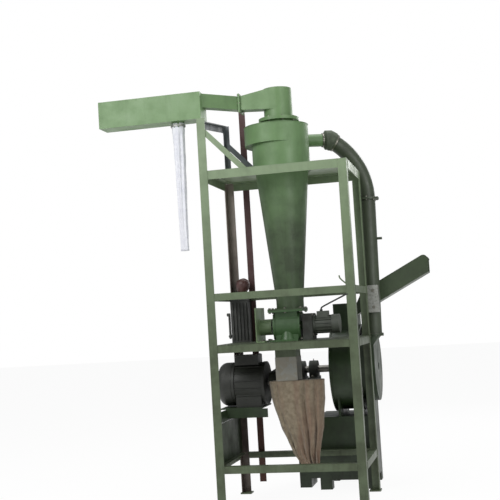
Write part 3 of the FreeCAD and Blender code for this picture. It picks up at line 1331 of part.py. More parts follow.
def feed_tray():
    """The sloping open tray with its two side walls and rounded outer corners."""
    wall = S.hopper_wall
    front = MILL_AXIS_Y - S.hopper_depth / 2 + 2 * wall
    depth = S.hopper_depth - 4 * wall
    end = TRAY_X + S.tray_length
    end_z = S.tray_level + S.tray_length * TRAY_SLOPE
    lap = HOPPER_TOP - S.tray_level - 40
    side = [Vector(TRAY_X, front, S.tray_level), Vector(end, front, end_z),
            Vector(end, front, end_z + S.tray_side),
            Vector(TRAY_X + lap, front, S.tray_level + lap * TRAY_SLOPE + S.tray_side),
            Vector(TRAY_X, front, S.tray_level + lap)]
    outer = Part.Face(Part.makePolygon(side + side[:1])).extrude(Vector(0, depth, 0))
    outer_edge = [edge for edge in outer.Edges if edge.BoundBox.XMin > end - 1
                  and edge.BoundBox.YLength > depth / 2 and edge.BoundBox.ZMin > end_z + 1]
    outer = outer.makeFillet(S.tray_corner, outer_edge)
    open_side = [point + Vector(0, wall, wall * 1.2) for point in side]
    open_side[2:] = [point + Vector(0, 0, S.tray_side) for point in open_side[2:]]
    open_side[1] += Vector(wall, 0, wall * TRAY_SLOPE)
    open_side[2] += Vector(wall, 0, wall * TRAY_SLOPE)
    hollow = Part.Face(Part.makePolygon(open_side + open_side[:1])).extrude(Vector(0, depth - 2 * wall, 0))
    return outer.cut(hollow).removeSplitter()


part("feed_tray", shaped("tray", feed_tray()))

# Starter box on the rear left leg with its switch handle, and the riser's clamp

CASE_LEFT = "(-stand_width / 2 + leg_wall + seat_gap)"
CASE_WIDTH = "(starter_width - 30)"
CASE_FRONT = "(stand_depth / 2 - leg_wall - seat_gap - starter_depth)"
CASE_LOW = "(shelf_level + deck_wall + seat_gap)"
HANDLE_Y = f"({CASE_FRONT} + 27)"
HANDLE_Z = f"({CASE_LOW} + handle_level)"
starter_case = box("starter_case", CASE_LEFT, CASE_FRONT, CASE_LOW, CASE_WIDTH, "starter_depth",
                   "starter_height")
starter_ribs = []
for index in range(int(S.starter_rib_count)):
    rib_x = f"{CASE_LEFT} + 12 + {index} * ({CASE_WIDTH} - 34) / (starter_rib_count - 1)"
    starter_ribs.append(box(f"starter_rib_{index}", rib_x, f"{CASE_FRONT} - 10", f"{CASE_LOW} + 20", 10, 20,
                            "starter_height - 70"))
cap = box("starter_cap", f"{CASE_LEFT} - seat_gap + 4", f"{CASE_FRONT} - 12",
          f"{CASE_LOW} + starter_height - 30", f"{CASE_WIDTH} + 8", 40, 30)
cable_hood = rod("cable_hood", "z", f"{CASE_LEFT} + {CASE_WIDTH} * 0.5", f"{CASE_FRONT} + 40",
                 f"{CASE_LOW} + starter_height", 20,
                 "cable_hood_height")
handle_pin = rod("handle_pin", "x", f"{CASE_LEFT} - 2.5 * handle_wall", HANDLE_Y, HANDLE_Z,
                 "handle_pin_radius", "4 * handle_wall")
part("starter_box", fuse("starter", starter_case, *starter_ribs, cap, cable_hood, handle_pin))

HANDLE_X = f"{CASE_LEFT} - 2 * handle_wall"
hub = rod("handle_hub", "x", HANDLE_X, HANDLE_Y, HANDLE_Z, "handle_width * 0.8", "handle_wall")
arm = box("handle_arm", HANDLE_X, f"{HANDLE_Y} - handle_width / 2", HANDLE_Z, "handle_wall", "handle_width",
          "handle_length")
grip = rod("handle_grip", "x", f"{HANDLE_X} - handle_wall", HANDLE_Y, f"{HANDLE_Z} + handle_length",
            "handle_width / 2", "2 * handle_wall")
handle_bore = rod("handle_bore", "x", f"{HANDLE_X} - handle_wall", HANDLE_Y, HANDLE_Z,
                  "handle_pin_radius + shaft_gap", "3 * handle_wall")
part("switch_handle", cut("handle", fuse("handle_blank", hub, arm, grip), handle_bore))


def riser_clamp():
    """The cast clamp block on the rear right leg, bored for the riser."""
    low = Vector(S.stand_width / 2 - 22, S.stand_depth / 2 + S.seat_gap, S.clamp_level)
    block = Part.makeBox(S.clamp_width, S.clamp_depth, S.clamp_height, low)
    return block.cut(Part.makeCylinder(S.pipe_radius + S.shaft_gap, RISER_LENGTH, RISER_TOP, RISER_WAY))


part("riser_clamp", shaped("clamp", riser_clamp()))

doc.recompute()

for thing in doc.Objects:
    if "Invalid" in thing.State or "Error" in thing.State:
        raise RuntimeError(f"{thing.Label} failed to build")
for thing in parts:
    shape = thing.Shape
    if shape.isNull() or not shape.isValid() or not shape.Solids:
        raise RuntimeError(f"{thing.Label} has no sound solid")
for thing in parts:
    thing.Shape.exportStep(f"parts/{thing.Label}.step")
print(len(parts), "pieces written")
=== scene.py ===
"""Looks of the herb pulverizer: paint, cloth, rubber and metal finishes, soft bags, light and camera."""

import json
import logging
import math
from dataclasses import dataclass
from enum import Enum
from typing import Any, Sequence

import bmesh
import bpy
from mathutils import Matrix, Vector, noise

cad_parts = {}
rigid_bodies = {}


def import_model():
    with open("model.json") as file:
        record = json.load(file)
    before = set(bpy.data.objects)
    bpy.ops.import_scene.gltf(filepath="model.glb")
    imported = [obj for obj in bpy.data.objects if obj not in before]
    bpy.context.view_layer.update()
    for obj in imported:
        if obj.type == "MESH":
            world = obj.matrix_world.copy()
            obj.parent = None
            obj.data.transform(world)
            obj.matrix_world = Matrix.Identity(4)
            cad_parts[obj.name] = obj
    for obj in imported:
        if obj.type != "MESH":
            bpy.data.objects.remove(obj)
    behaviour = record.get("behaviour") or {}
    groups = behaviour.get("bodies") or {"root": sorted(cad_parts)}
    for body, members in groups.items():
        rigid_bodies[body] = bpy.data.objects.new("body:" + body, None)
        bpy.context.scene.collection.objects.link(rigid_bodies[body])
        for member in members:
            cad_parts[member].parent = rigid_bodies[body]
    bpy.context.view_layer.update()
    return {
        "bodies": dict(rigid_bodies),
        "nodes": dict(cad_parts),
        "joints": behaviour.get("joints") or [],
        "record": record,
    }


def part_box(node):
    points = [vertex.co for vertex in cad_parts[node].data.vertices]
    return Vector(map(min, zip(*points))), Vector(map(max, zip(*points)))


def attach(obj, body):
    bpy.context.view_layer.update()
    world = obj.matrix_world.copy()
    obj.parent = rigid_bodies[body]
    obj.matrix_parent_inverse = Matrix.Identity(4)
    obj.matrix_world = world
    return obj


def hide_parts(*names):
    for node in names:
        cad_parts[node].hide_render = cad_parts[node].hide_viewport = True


Span = tuple[float, float]
Point = tuple[float, float, float]
Mesh = bmesh.types.BMesh
Material = bpy.types.Material
Node = bpy.types.Node
NodeTree = bpy.types.NodeTree
Socket = bpy.types.NodeSocket

LOG = logging.getLogger("herb_pulverizer")
MM = 0.001
UP = Vector((0, 0, 1))
RIGHT = Vector((1, 0, 0))
FRONT = Vector((0, -1, 0))
NEARLY_UPRIGHT = 0.9
CORNER_CUT = 0.25
RESIN_IOR = 1.5


def linear(hex_colour: str) -> tuple[float, float, float, float]:
    """Turns an sRGB hex colour into Blender's linear colour by the sRGB standard's curve.

    Args:
        hex_colour: the colour as "#RRGGBB".

    Returns:
        Linear red, green, blue and a full alpha.
    """
    channels = [int(hex_colour[i:i + 2], 16) / 255 for i in (1, 3, 5)]
    turned = [c / 12.92 if c <= 0.04045 else ((c + 0.055) / 1.055) ** 2.4 for c in channels]
    return (turned[0], turned[1], turned[2], 1.0)


def in_use(sockets: Sequence[Socket], name: str = "") -> Socket:
    """Finds the first socket in use, or the first in use with a name."""
    return next(socket for socket in sockets if socket.enabled and name in ("", socket.name))


def feed(node: Node, inputs: dict[int | str, Any]) -> None:
    """Gives a node's inputs their values and links.

    Args:
        node: the node.
        inputs: by an input's name or number its value, its hex colour, or a socket or node to link.
    """
    for key, value in inputs.items():
        target = node.inputs[key] if isinstance(key, int) else in_use(node.inputs, key)
        if isinstance(value, Node):
            value = in_use(value.outputs)
        if isinstance(value, Socket):
            node.id_data.links.new(value, target)
        else:
            target.default_value = linear(value) if isinstance(value, str) else value


def add_node(tree: NodeTree, kind: str, inputs: dict[int | str, Any] | None = None,
             **settings: Any) -> Node:
    """Adds one node with its settings, input values and links.

    Args:
        tree: the node tree.
        kind: the node's type name.
        inputs: what feeds each input, as feed() takes it.
        settings: properties of the node itself.

    Returns:
        The new node.
    """
    node = tree.nodes.new(kind)
    for name, value in settings.items():
        setattr(node, name, value)
    feed(node, inputs or {})
    return node


def per_metre(size_mm: float) -> float:
    """Gives the texture scale at which a pattern repeats at a size in millimetres."""
    return 1.0 / (size_mm * MM)


def new_material(name: str) -> tuple[Material, NodeTree, Node, Socket]:
    """Starts a material with a Principled shader and object coordinates.

    Args:
        name: the finish's name.

    Returns:
        The material, its tree, its shader and the coordinate output.
    """
    material = bpy.data.materials.new(name)
    material.use_nodes = True
    tree = material.node_tree
    tree.nodes.clear()
    shader = add_node(tree, "ShaderNodeBsdfPrincipled")
    add_node(tree, "ShaderNodeOutputMaterial", {"Surface": shader})
    return material, tree, shader, add_node(tree, "ShaderNodeTexCoord").outputs["Object"]


@dataclass(frozen=True)
class AlkydEnamel:
    """Alkyd machine enamel, sprayed on welded sheet and rolled steel in a small workshop."""

    # The eye sees a fine orange peel and a half gloss. Herb powder and hand grease dull it in patches
    # and in streaks that run down. Where a low share is set, the colour also darkens towards the floor
    # between two heights, and that darkening is painted shade.
    name: str
    paint: str
    grime_and_shade: str
    grime_share: float = 0.35
    low_shade_share: float = 0.0
    low_shade_start: float = 0.0
    low_shade_full: float = 0.0
    roughness: float = 0.42
    dulling: Span = (-0.08, 0.16)
    patch_mm: float = 140.0
    streak_mm: float = 26.0
    streak_squeeze: float = 0.09
    streak_share: float = 0.45
    peel_mm: float = 5.0
    wave_mm: float = 90.0
    wave_height: float = 5.0

    def build(self) -> Material:
        """Builds the material.

        Returns:
            The new material.
        """
        material, tree, shader, place = new_material(self.name)
        patches = add_node(tree, "ShaderNodeTexNoise", {
            "Vector": place, "Scale": per_metre(self.patch_mm), "Detail": 5.0, "Roughness": 0.62})
        stretched = add_node(tree, "ShaderNodeMapping", {
            "Vector": place, "Scale": (1.0, 1.0, self.streak_squeeze)})
        streaks = add_node(tree, "ShaderNodeTexNoise", {
            "Vector": stretched, "Scale": per_metre(self.streak_mm), "Detail": 3.0})
        patchy = add_node(tree, "ShaderNodeMapRange", {"Value": patches, "From Min": 0.42, "From Max": 0.68})
        streaky = add_node(tree, "ShaderNodeMapRange", {"Value": streaks, "From Min": 0.5, "From Max": 0.74})
        dirt_and_shade = add_node(tree, "ShaderNodeMath", {0: streaky, 1: self.streak_share, 2: patchy},
                        operation="MULTIPLY_ADD")
        dirt_and_shade = add_node(tree, "ShaderNodeMath", {0: dirt_and_shade, 1: self.grime_share},
                        operation="MULTIPLY", use_clamp=True)
        # Painted shade: from the start height down to the full height the colour darkens further, up to the
        # low share.
        if self.low_shade_share > 0:
            height = add_node(tree, "ShaderNodeSeparateXYZ", {0: place}).outputs["Z"]
            low = add_node(tree, "ShaderNodeMapRange", {
                "Value": height, "From Min": self.low_shade_start, "From Max": self.low_shade_full,
                "To Max": self.low_shade_share})
            dirt_and_shade = add_node(tree, "ShaderNodeMath", {0: dirt_and_shade, 1: low}, operation="ADD", use_clamp=True)
        colour = add_node(tree, "ShaderNodeMix", {"Factor": dirt_and_shade, "A": self.paint, "B": self.grime_and_shade},
                          data_type="RGBA")
        gloss = add_node(tree, "ShaderNodeMapRange", {
            "Value": patches, "From Min": 0.3, "From Max": 0.7,
            "To Min": self.roughness + self.dulling[0], "To Max": self.roughness + self.dulling[1]})
        peel = add_node(tree, "ShaderNodeTexNoise", {
            "Vector": place, "Scale": per_metre(self.peel_mm), "Detail": 2.0})
        waves = add_node(tree, "ShaderNodeTexNoise", {
            "Vector": place, "Scale": per_metre(self.wave_mm), "Detail": 1.0})
        film = add_node(tree, "ShaderNodeMath", {0: waves, 1: self.wave_height, 2: peel},
                        operation="MULTIPLY_ADD")
        bump = add_node(tree, "ShaderNodeBump", {"Height": film, "Strength": 0.22, "Distance": 1.2 * MM})
        feed(shader, {"Base Color": colour, "Roughness": gloss, "Normal": bump, "IOR": RESIN_IOR})
        return material


@dataclass(frozen=True)
class Surface:
    """A finish of two colours that a noise pattern mixes, with its gloss and fine relief."""

    name: str
    main: str
    other: str
    roughness: float = 0.5
    roughest: float = 0.0
    metallic: float = 0.0
    pattern_mm: float = 50.0
    pattern_detail: float = 4.0
    mixing: Span = (0.0, 1.0)
    other_share: float = 1.0
    relief_mm: float = 0.0
    relief_detail: float = 2.0
    relief_roughness: float = 0.5
    relief: Span = (0.25, 0.6 * MM)

    def build(self) -> Material:
        """Builds the material.

        Returns:
            The new material.
        """
        material, tree, shader, place = new_material(self.name)
        pattern = add_node(tree, "ShaderNodeTexNoise", {
            "Vector": place, "Scale": per_metre(self.pattern_mm), "Detail": self.pattern_detail})
        share = add_node(tree, "ShaderNodeMapRange", {
            "Value": pattern, "From Min": self.mixing[0], "From Max": self.mixing[1],
            "To Max": self.other_share})
        colour = add_node(tree, "ShaderNodeMix", {"Factor": share, "A": self.main, "B": self.other},
                          data_type="RGBA")
        feed(shader, {"Base Color": colour, "Metallic": self.metallic, "Roughness": self.roughness})
        if self.roughest > self.roughness:
            gloss = add_node(tree, "ShaderNodeMapRange", {
                "Value": pattern, "To Min": self.roughness, "To Max": self.roughest})
            feed(shader, {"Roughness": gloss})
        if self.relief_mm > 0:
            relief = add_node(tree, "ShaderNodeTexNoise", {
                "Vector": place, "Scale": per_metre(self.relief_mm), "Detail": self.relief_detail,
                "Roughness": self.relief_roughness})
            bump = add_node(tree, "ShaderNodeBump", {
                "Height": relief, "Strength": self.relief[0], "Distance": self.relief[1]})
            feed(shader, {"Normal": bump})
        if self.metallic == 0:
            feed(shader, {"IOR": RESIN_IOR})
        return material


@dataclass(frozen=True)
class TurnedSteel(Surface):
    """Mild steel, turned or milled bright."""

    # The eye sees tool marks and a film of oil that dulls the shine in places. Real marks are
    # finer than a render shows, so they are drawn several times as coarse.
    name: str = "turned_mild_steel"
    main: str = "#9A9A96"
    other: str = "#6F6B62"
    roughness: float = 0.24
    roughest: float = 0.5
    metallic: float = 1.0
    pattern_mm: float = 6.0


@dataclass(frozen=True)
class SandCastIron(Surface):
    """Grey cast iron from a sand mould, brushed with thin primer."""

    # The eye sees a dull, grainy, slightly pitted skin with stains. The grit is 2.5 mm and finer,
    # which a render doesn't show, so it is drawn twice as coarse.
    name: str = "sand_cast_iron"
    main: str = "#4C4F4A"
    other: str = "#34332F"
    roughness: float = 0.72
    metallic: float = 0.35
    pattern_mm: float = 60.0
    mixing: Span = (0.35, 0.7)
    relief_mm: float = 5.0
    relief_detail: float = 6.0
    relief_roughness: float = 0.7
    relief: Span = (0.4, 0.8 * MM)


@dataclass(frozen=True)
class GalvanisedSheet:
    """Hot-dipped zinc on steel sheet."""

    # The eye sees a pale grey with a flaky spangle, dusty from the powder.
    name: str = "hot_dipped_zinc"
    zinc: str = "#A3A59F"
    spangle_mm: float = 14.0
    dull: str = "#8B8C86"

    def build(self) -> Material:
        """Builds the material.

        Returns:
            The new material.
        """
        material, tree, shader, place = new_material(self.name)
        spangle = add_node(tree, "ShaderNodeTexVoronoi", {
            "Vector": place, "Scale": per_metre(self.spangle_mm), "Randomness": 1.0})
        flakes = add_node(tree, "ShaderNodeSeparateColor", {0: spangle.outputs["Color"]})
        tint = add_node(tree, "ShaderNodeMix", {"Factor": flakes, "A": self.zinc, "B": self.dull},
                        data_type="RGBA")
        gloss = add_node(tree, "ShaderNodeMapRange", {"Value": flakes, "To Min": 0.38, "To Max": 0.58})
        feed(shader, {"Base Color": tint, "Roughness": gloss, "Metallic": 0.65})
        return material


@dataclass(frozen=True)
class MouldedRubber(Surface):
    """Black rubber, moulded and cured."""

    # The eye sees a dull bloom on black, with pale powder in the pores.
    name: str = "moulded_rubber"
    main: str = "#23261F"
    other: str = "#5A6150"
    roughness: float = 0.78
    pattern_mm: float = 45.0
    pattern_detail: float = 5.0
    mixing: Span = (0.3, 0.7)
    other_share: float = 0.6
    relief_mm: float = 3.0


@dataclass(frozen=True)
class MouldedPlastic(Surface):
    """Phenolic or ABS plastic, moulded."""

    # The eye sees an even colour, a soft half gloss, dust here and there and a grained skin. The
    # grain is 1.6 mm, which a render doesn't show, so it is drawn twice as coarse.
    mixing: Span = (0.45, 0.8)
    relief_mm: float = 3.2
    relief_detail: float = 1.0
    relief: Span = (0.15, 0.4 * MM)


@dataclass(frozen=True)
class WovenCloth:
    """Plain-woven cotton or polyester bag cloth."""

    # The eye sees a matt weave with a little sheen, powder in it, and stains that run down. The
    # threads are finer than a render shows, so the weave is drawn coarser.
    name: str
    cloth: str
    shade: str
    warm: str
    thread_mm: float = 0.8
    drawn_coarser: float = 3.0
    bands_per_scale: float = 3.0
    stain_mm: float = 120.0
    powder_mm: float = 30.0
    run_down: float = 0.12

    def build(self) -> Material:
        """Builds the material.

        Returns:
            The new material.
        """
        material, tree, shader, place = new_material(self.name)
        hanging = add_node(tree, "ShaderNodeMapping", {
            "Vector": place, "Scale": (1.0, 1.0, self.run_down)})
        repeat = per_metre(self.thread_mm * self.drawn_coarser) / self.bands_per_scale
        threads = [add_node(tree, "ShaderNodeTexWave", {
            "Vector": place, "Scale": repeat, "Distortion": 0.6, "Detail": 1.0}, bands_direction=way)
            for way in ("X", "Z")]
        weave = add_node(tree, "ShaderNodeMath", {
            0: threads[0].outputs["Fac"], 1: threads[1].outputs["Fac"]}, operation="MULTIPLY")
        stains = add_node(tree, "ShaderNodeTexNoise", {
            "Vector": hanging, "Scale": per_metre(self.stain_mm), "Detail": 4.0})
        powder = add_node(tree, "ShaderNodeTexNoise", {
            "Vector": place, "Scale": per_metre(self.powder_mm), "Detail": 6.0})
        dusty = add_node(tree, "ShaderNodeMapRange", {"Value": powder, "From Min": 0.35, "From Max": 0.75})
        stained = add_node(tree, "ShaderNodeMapRange", {"Value": stains, "From Min": 0.5, "From Max": 0.75})
        body = add_node(tree, "ShaderNodeMix", {"Factor": dusty, "A": self.cloth, "B": self.shade},
                        data_type="RGBA")
        colour = add_node(tree, "ShaderNodeMix", {"Factor": stained, "A": body, "B": self.warm},
                          data_type="RGBA")
        bump = add_node(tree, "ShaderNodeBump", {"Height": weave, "Strength": 0.35, "Distance": 0.6 * MM})
        feed(shader, {"Base Color": colour, "Normal": bump, "Roughness": 0.9, "Sheen Weight": 0.25,
                      "Sheen Roughness": 0.5})
        return material


class Finish(Enum):
    """The finishes of this machine, each built once."""

    # Sheet and rolled steel: greens from a light leaf green on top to a near black one at the mill. The
    # airlock's and the mill's greens are darker copies of the one green paint, which is painted shade,
    # and the darkening of the cyclone, the stand and the mill towards the floor is painted shade too.
    HEADER_GREEN = AlkydEnamel("alkyd_enamel_leaf_green", "#6A885B", "#526C45", 0.4)
    PLATE_GREEN = AlkydEnamel("alkyd_enamel_plate_green", "#728963", "#566648", 0.4)
    # Painted shade: the cone darkens from the deck down towards its foot.
    CYCLONE_GREEN = AlkydEnamel("alkyd_enamel_mid_green_shaded_below", "#68875A", "#2F3D25", 0.2,
                                low_shade_share=0.85, low_shade_start=2.42, low_shade_full=1.9)
    # Painted shade: a darker copy of the green for the airlock.
    AIRLOCK_GREEN = AlkydEnamel("alkyd_enamel_green_airlock_painted_shade", "#42613A", "#2A3D24", 0.4)
    # Painted shade: the stand darkens towards the floor.
    FRAME_GREEN = AlkydEnamel("alkyd_enamel_stand_green_shaded_below", "#788A6B", "#3D4630", 0.22,
                              low_shade_share=0.8, low_shade_start=2.35, low_shade_full=1.2)
    PIPE_GREEN = AlkydEnamel("alkyd_enamel_pipe_green", "#3F4837", "#31372A", 0.5)
    # Painted shade: a near-black copy of the green for the mill, which darkens further towards the floor.
    MILL_GREEN = AlkydEnamel("alkyd_enamel_green_mill_painted_shade", "#27391E", "#18230F", 0.6,
                             low_shade_share=0.5, low_shade_start=1.0)
    TRAY_GREEN = AlkydEnamel("alkyd_enamel_tray_green", "#36452B", "#28311F", 0.5)
    # Other paints: bluish braces, a rusty primed upright, a grey-brown leg and the motors' greys. The
    # upright and the leg darken towards the floor, which is painted shade.
    SLATE = AlkydEnamel("alkyd_enamel_slate", "#666B6F", "#4C5154", 0.5, roughness=0.5)
    # Painted shade: the upright darkens towards the floor.
    RED_OXIDE = AlkydEnamel("red_oxide_primer", "#53393A", "#4A2B20", 0.3,
                            low_shade_share=0.9, low_shade_start=1.6, low_shade_full=0.3, roughness=0.6)
    MOTOR_GREY = AlkydEnamel("alkyd_enamel_charcoal", "#2A2C27", "#1E1F1A", 0.6, roughness=0.5)
    GEAR_GREY = AlkydEnamel("alkyd_enamel_gear_grey", "#565B52", "#3B3F37", 0.5, roughness=0.5)
    # Painted shade: the leg darkens towards the floor.
    FRAME_BROWN = AlkydEnamel("alkyd_enamel_grey_brown", "#8F857C", "#3A2F28", 0.25,
                              low_shade_share=0.85, low_shade_start=2.2, low_shade_full=1.2)
    # Bare metal, rubber, plastic and cloth.
    BRIGHT_STEEL = TurnedSteel()
    PLATED_STEEL = TurnedSteel("zinc_plated_steel", "#8F8F86", pattern_mm=10.0)
    CAST_IRON = SandCastIron()
    ZINC = GalvanisedSheet()
    PALE_ZINC = GalvanisedSheet("powder_dusted_zinc", "#827E72", 30.0)
    RUBBER = MouldedRubber()
    DUSTY_RUBBER = MouldedRubber("painted_rubber_boot", "#3B4236", "#5C6553", other_share=0.9)
    BLACK_PLASTIC = MouldedPlastic("phenolic_black", "#2D2F2B", "#454743", 0.5)
    RED_PLASTIC = MouldedPlastic("abs_brown_red", "#4A2E2A", "#624642", 0.4)
    BAG_CLOTH = WovenCloth("cotton_bag_cloth", "#857A67", "#675B4A", "#7C6150")
    FILTER_CLOTH = WovenCloth("polyester_filter_cloth", "#E4E5EA", "#CFD1DA", "#D6D6DC")


class Workshop:
    """Builds each finish once and dresses nodes and new pieces with it."""

    def __init__(self, frame: dict[str, Any]) -> None:
        """Keeps the frame and an empty shelf of materials."""
        self.frame = frame
        self.shelf: dict[Finish, Material] = {}

    def material(self, finish: Finish) -> Material:
        """Gives a finish's material, building it the first time.

        Args:
            finish: the finish.

        Returns:
            Its material.
        """
        if finish not in self.shelf:
            self.shelf[finish] = finish.value.build()
        return self.shelf[finish]

    def dress(self, finish: Finish, *nodes: str) -> None:
        """Gives nodes of the frame one finish.

        Args:
            finish: the finish that covers them.
            nodes: the nodes' names.
        """
        material = self.material(finish)
        for node in nodes:
            item = self.frame["nodes"][node]
            if not item.material_slots:
                item.data.materials.append(material)
            for slot in item.material_slots:
                slot.material = material
            LOG.info("node %s in %s", node, material.name)

    def piece(self, name: str, mesh: Mesh, finish: Finish, body: str,
              smooth: bool = True) -> bpy.types.Object:
        """Turns a mesh into a dressed piece that rides on a body.

        Args:
            name: the piece's name.
            mesh: its geometry, which is freed.
            finish: its finish.
            body: the body that carries it.
            smooth: whether its faces are shaded smooth.

        Returns:
            The new object.
        """
        data = bpy.data.meshes.new(name)
        bmesh.ops.recalc_face_normals(mesh, faces=mesh.faces)
        mesh.to_mesh(data)
        mesh.free()
        for polygon in data.polygons:
            polygon.use_smooth = smooth
        item = bpy.data.objects.new(name, data)
        bpy.context.scene.collection.objects.link(item)
        item.data.materials.append(self.material(finish))
        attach(item, body)
        LOG.info("piece %s on %s", name, body)
        return item


def node_box(node: str) -> tuple[Vector, Vector]:
    """Gives a node's lowest and highest corners in metres."""
    low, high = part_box(node)
    return Vector(low), Vector(high)


def node_middle(node: str) -> Vector:
    """Gives the middle of a node's box."""
    low, high = node_box(node)
    return (low + high) / 2


def across(normal: Vector) -> tuple[Vector, Vector]:
    """Gives two directions square to a third and to each other.

    Args:
        normal: the third direction.

    Returns:
        A level direction, and the one square to it.
    """
    guide = UP if abs(normal.z) < NEARLY_UPRIGHT else -FRONT
    side = guide.cross(normal).normalized()
    return side, normal.cross(side).normalized()


def circle(centre: Vector, normal: Vector, radius: float, count: int, first: float = 0.0) -> list[Vector]:
    """Spreads points evenly round a circle.

    Args:
        centre: the circle's centre.
        normal: the direction that the circle faces.
        radius: its radius.
        count: how many points it gets.
        first: the first point's angle in radians from the level direction.

    Returns:
        The points in order.
    """
    side, rise = across(normal)
    angles = [first + math.tau * index / count for index in range(count)]
    return [centre + (side * math.cos(angle) + rise * math.sin(angle)) * radius for angle in angles]


def add_rings(mesh: Mesh, rings: Sequence[Sequence[Vector]], close_ends: bool = True) -> None:
    """Skins rings of equally many points into one surface.

    Args:
        mesh: the mesh that gets the surface.
        rings: the rings from one end to the other.
        close_ends: whether both ends get a cap.
    """
    rows = [[mesh.verts.new(point) for point in ring] for ring in rings]
    count = len(rows[0])
    for lower, upper in zip(rows, rows[1:]):
        for index in range(count):
            after = (index + 1) % count
            mesh.faces.new((lower[index], lower[after], upper[after], upper[index]))
    if close_ends:
        mesh.faces.new(rows[0])
        mesh.faces.new(list(reversed(rows[-1])))


def add_turned(mesh: Mesh, base: Vector, normal: Vector, profile: Sequence[Span], count: int = 32,
               first: float = 0.0, close_ends: bool = True) -> None:
    """Adds a turned form.

    Args:
        mesh: the mesh that gets the form.
        base: the point on its axis from which heights are measured.
        normal: its axis.
        profile: pairs of height and radius along the axis.
        count: how many sides it has.
        first: the angle of its first side in radians.
        close_ends: whether both ends get a cap.
    """
    rings = [circle(base + normal * height, normal, radius, count, first) for height, radius in profile]
    add_rings(mesh, rings, close_ends)


def rounded(points: Sequence[Point], rounds: int = 3) -> list[Vector]:
    """Rounds the corners of a path by cutting them off again and again.

    Args:
        points: the path's points.
        rounds: how often its corners are cut.

    Returns:
        The rounded path.
    """
    path = [Vector(point) for point in points]
    for _ in range(rounds):
        cuts = [first.lerp(second, share) for first, second in zip(path, path[1:])
                for share in (CORNER_CUT, 1 - CORNER_CUT)]
        path = [path[0], *cuts, path[-1]]
    return path


def add_bar(mesh: Mesh, points: Sequence[Vector], radii: Sequence[float], count: int = 12) -> None:
    """Adds a round bar along points.

    Args:
        mesh: the mesh that gets the bar.
        points: the points of its middle line.
        radii: its radius at each point.
        count: how many sides it has.
    """
    side = across((points[1] - points[0]).normalized())[0]
    rings = []
    for index, (point, radius) in enumerate(zip(points, radii)):
        way = (points[min(index + 1, len(points) - 1)] - points[max(index - 1, 0)]).normalized()
        side = (side - way * side.dot(way)).normalized()
        rise = way.cross(side)
        angles = [math.tau * step / count for step in range(count)]
        rings.append([point + (side * math.cos(angle) + rise * math.sin(angle)) * radius for angle in angles])
    add_rings(mesh, rings)


@dataclass(frozen=True)
class HexBolt:
    """A hexagon-head bolt on a plain washer, whose sizes are shares of its thread as in the standards."""

    thread: float
    washer: float = 0.2
    head: float = 0.66
    corner: float = 0.94
    chamfer: Span = (0.1, 0.85)
    washer_sides: int = 20
    turn_step: float = 0.4

    def add(self, mesh: Mesh, seat: Vector, normal: Vector, turn: float = 0.0) -> None:
        """Sets one bolt.

        Args:
            mesh: the mesh that gets the bolt.
            seat: the point under its washer.
            normal: the way its head points.
            turn: the head's turn in radians.
        """
        washer = self.washer * self.thread
        head = washer + self.head * self.thread
        corner = self.corner * self.thread
        add_turned(mesh, seat, normal, [(0, self.thread), (washer, self.thread)], self.washer_sides)
        add_turned(mesh, seat, normal, [
            (washer, corner), (head - self.chamfer[0] * self.thread, corner),
            (head, self.chamfer[1] * corner)], 6, turn)

    def add_all(self, mesh: Mesh, seats: Sequence[Vector], normal: Vector, grip: float = 0.0) -> None:
        """Sets a bolt on each seat, each head turned its own way.

        Args:
            mesh: the mesh that gets them.
            seats: the points under the washers.
            normal: the way the heads point.
            grip: the thickness of a joint with nuts below it, or 0 for tapped holes.
        """
        for index, seat in enumerate(seats):
            self.add(mesh, seat, normal, self.turn_step * index)
        if grip > 0:
            self.add_all(mesh, [seat - normal * grip for seat in seats], -normal)


@dataclass(frozen=True)
class WeldBead:
    """A hand-laid fillet weld, whose runs leave a ripple along the bead."""

    radius: float = 3 * MM
    ripple: float = 5 * MM
    ripple_depth: float = 0.25
    steps_per_ripple: int = 3
    fewest_steps: int = 4
    end_share: float = 0.4
    sides: int = 8

    def add(self, mesh: Mesh, start: Vector, end: Vector) -> None:
        """Lays one bead.

        Args:
            mesh: the mesh that gets the bead.
            start: where it starts.
            end: where it ends.
        """
        steps = max(self.fewest_steps, round((end - start).length / self.ripple * self.steps_per_ripple))
        points = [start.lerp(end, index / steps) for index in range(steps + 1)]
        waves = [abs(math.cos(math.pi * index / self.steps_per_ripple)) for index in range(steps + 1)]
        radii = [self.radius * (1 - self.ripple_depth + self.ripple_depth * wave) for wave in waves]
        radii[0] = radii[-1] = self.end_share * self.radius
        add_bar(mesh, points, radii, self.sides)


@dataclass
class Assembly:
    """A sub-assembly whose added pieces ride on the stand."""

    shop: Workshop
    body: str = "stand"

    def add_bolts(self, name: str, mesh: Mesh) -> None:
        """Adds a mesh of bolts in plated steel, with flat faces."""
        self.shop.piece(name, mesh, Finish.PLATED_STEEL, self.body, smooth=False)


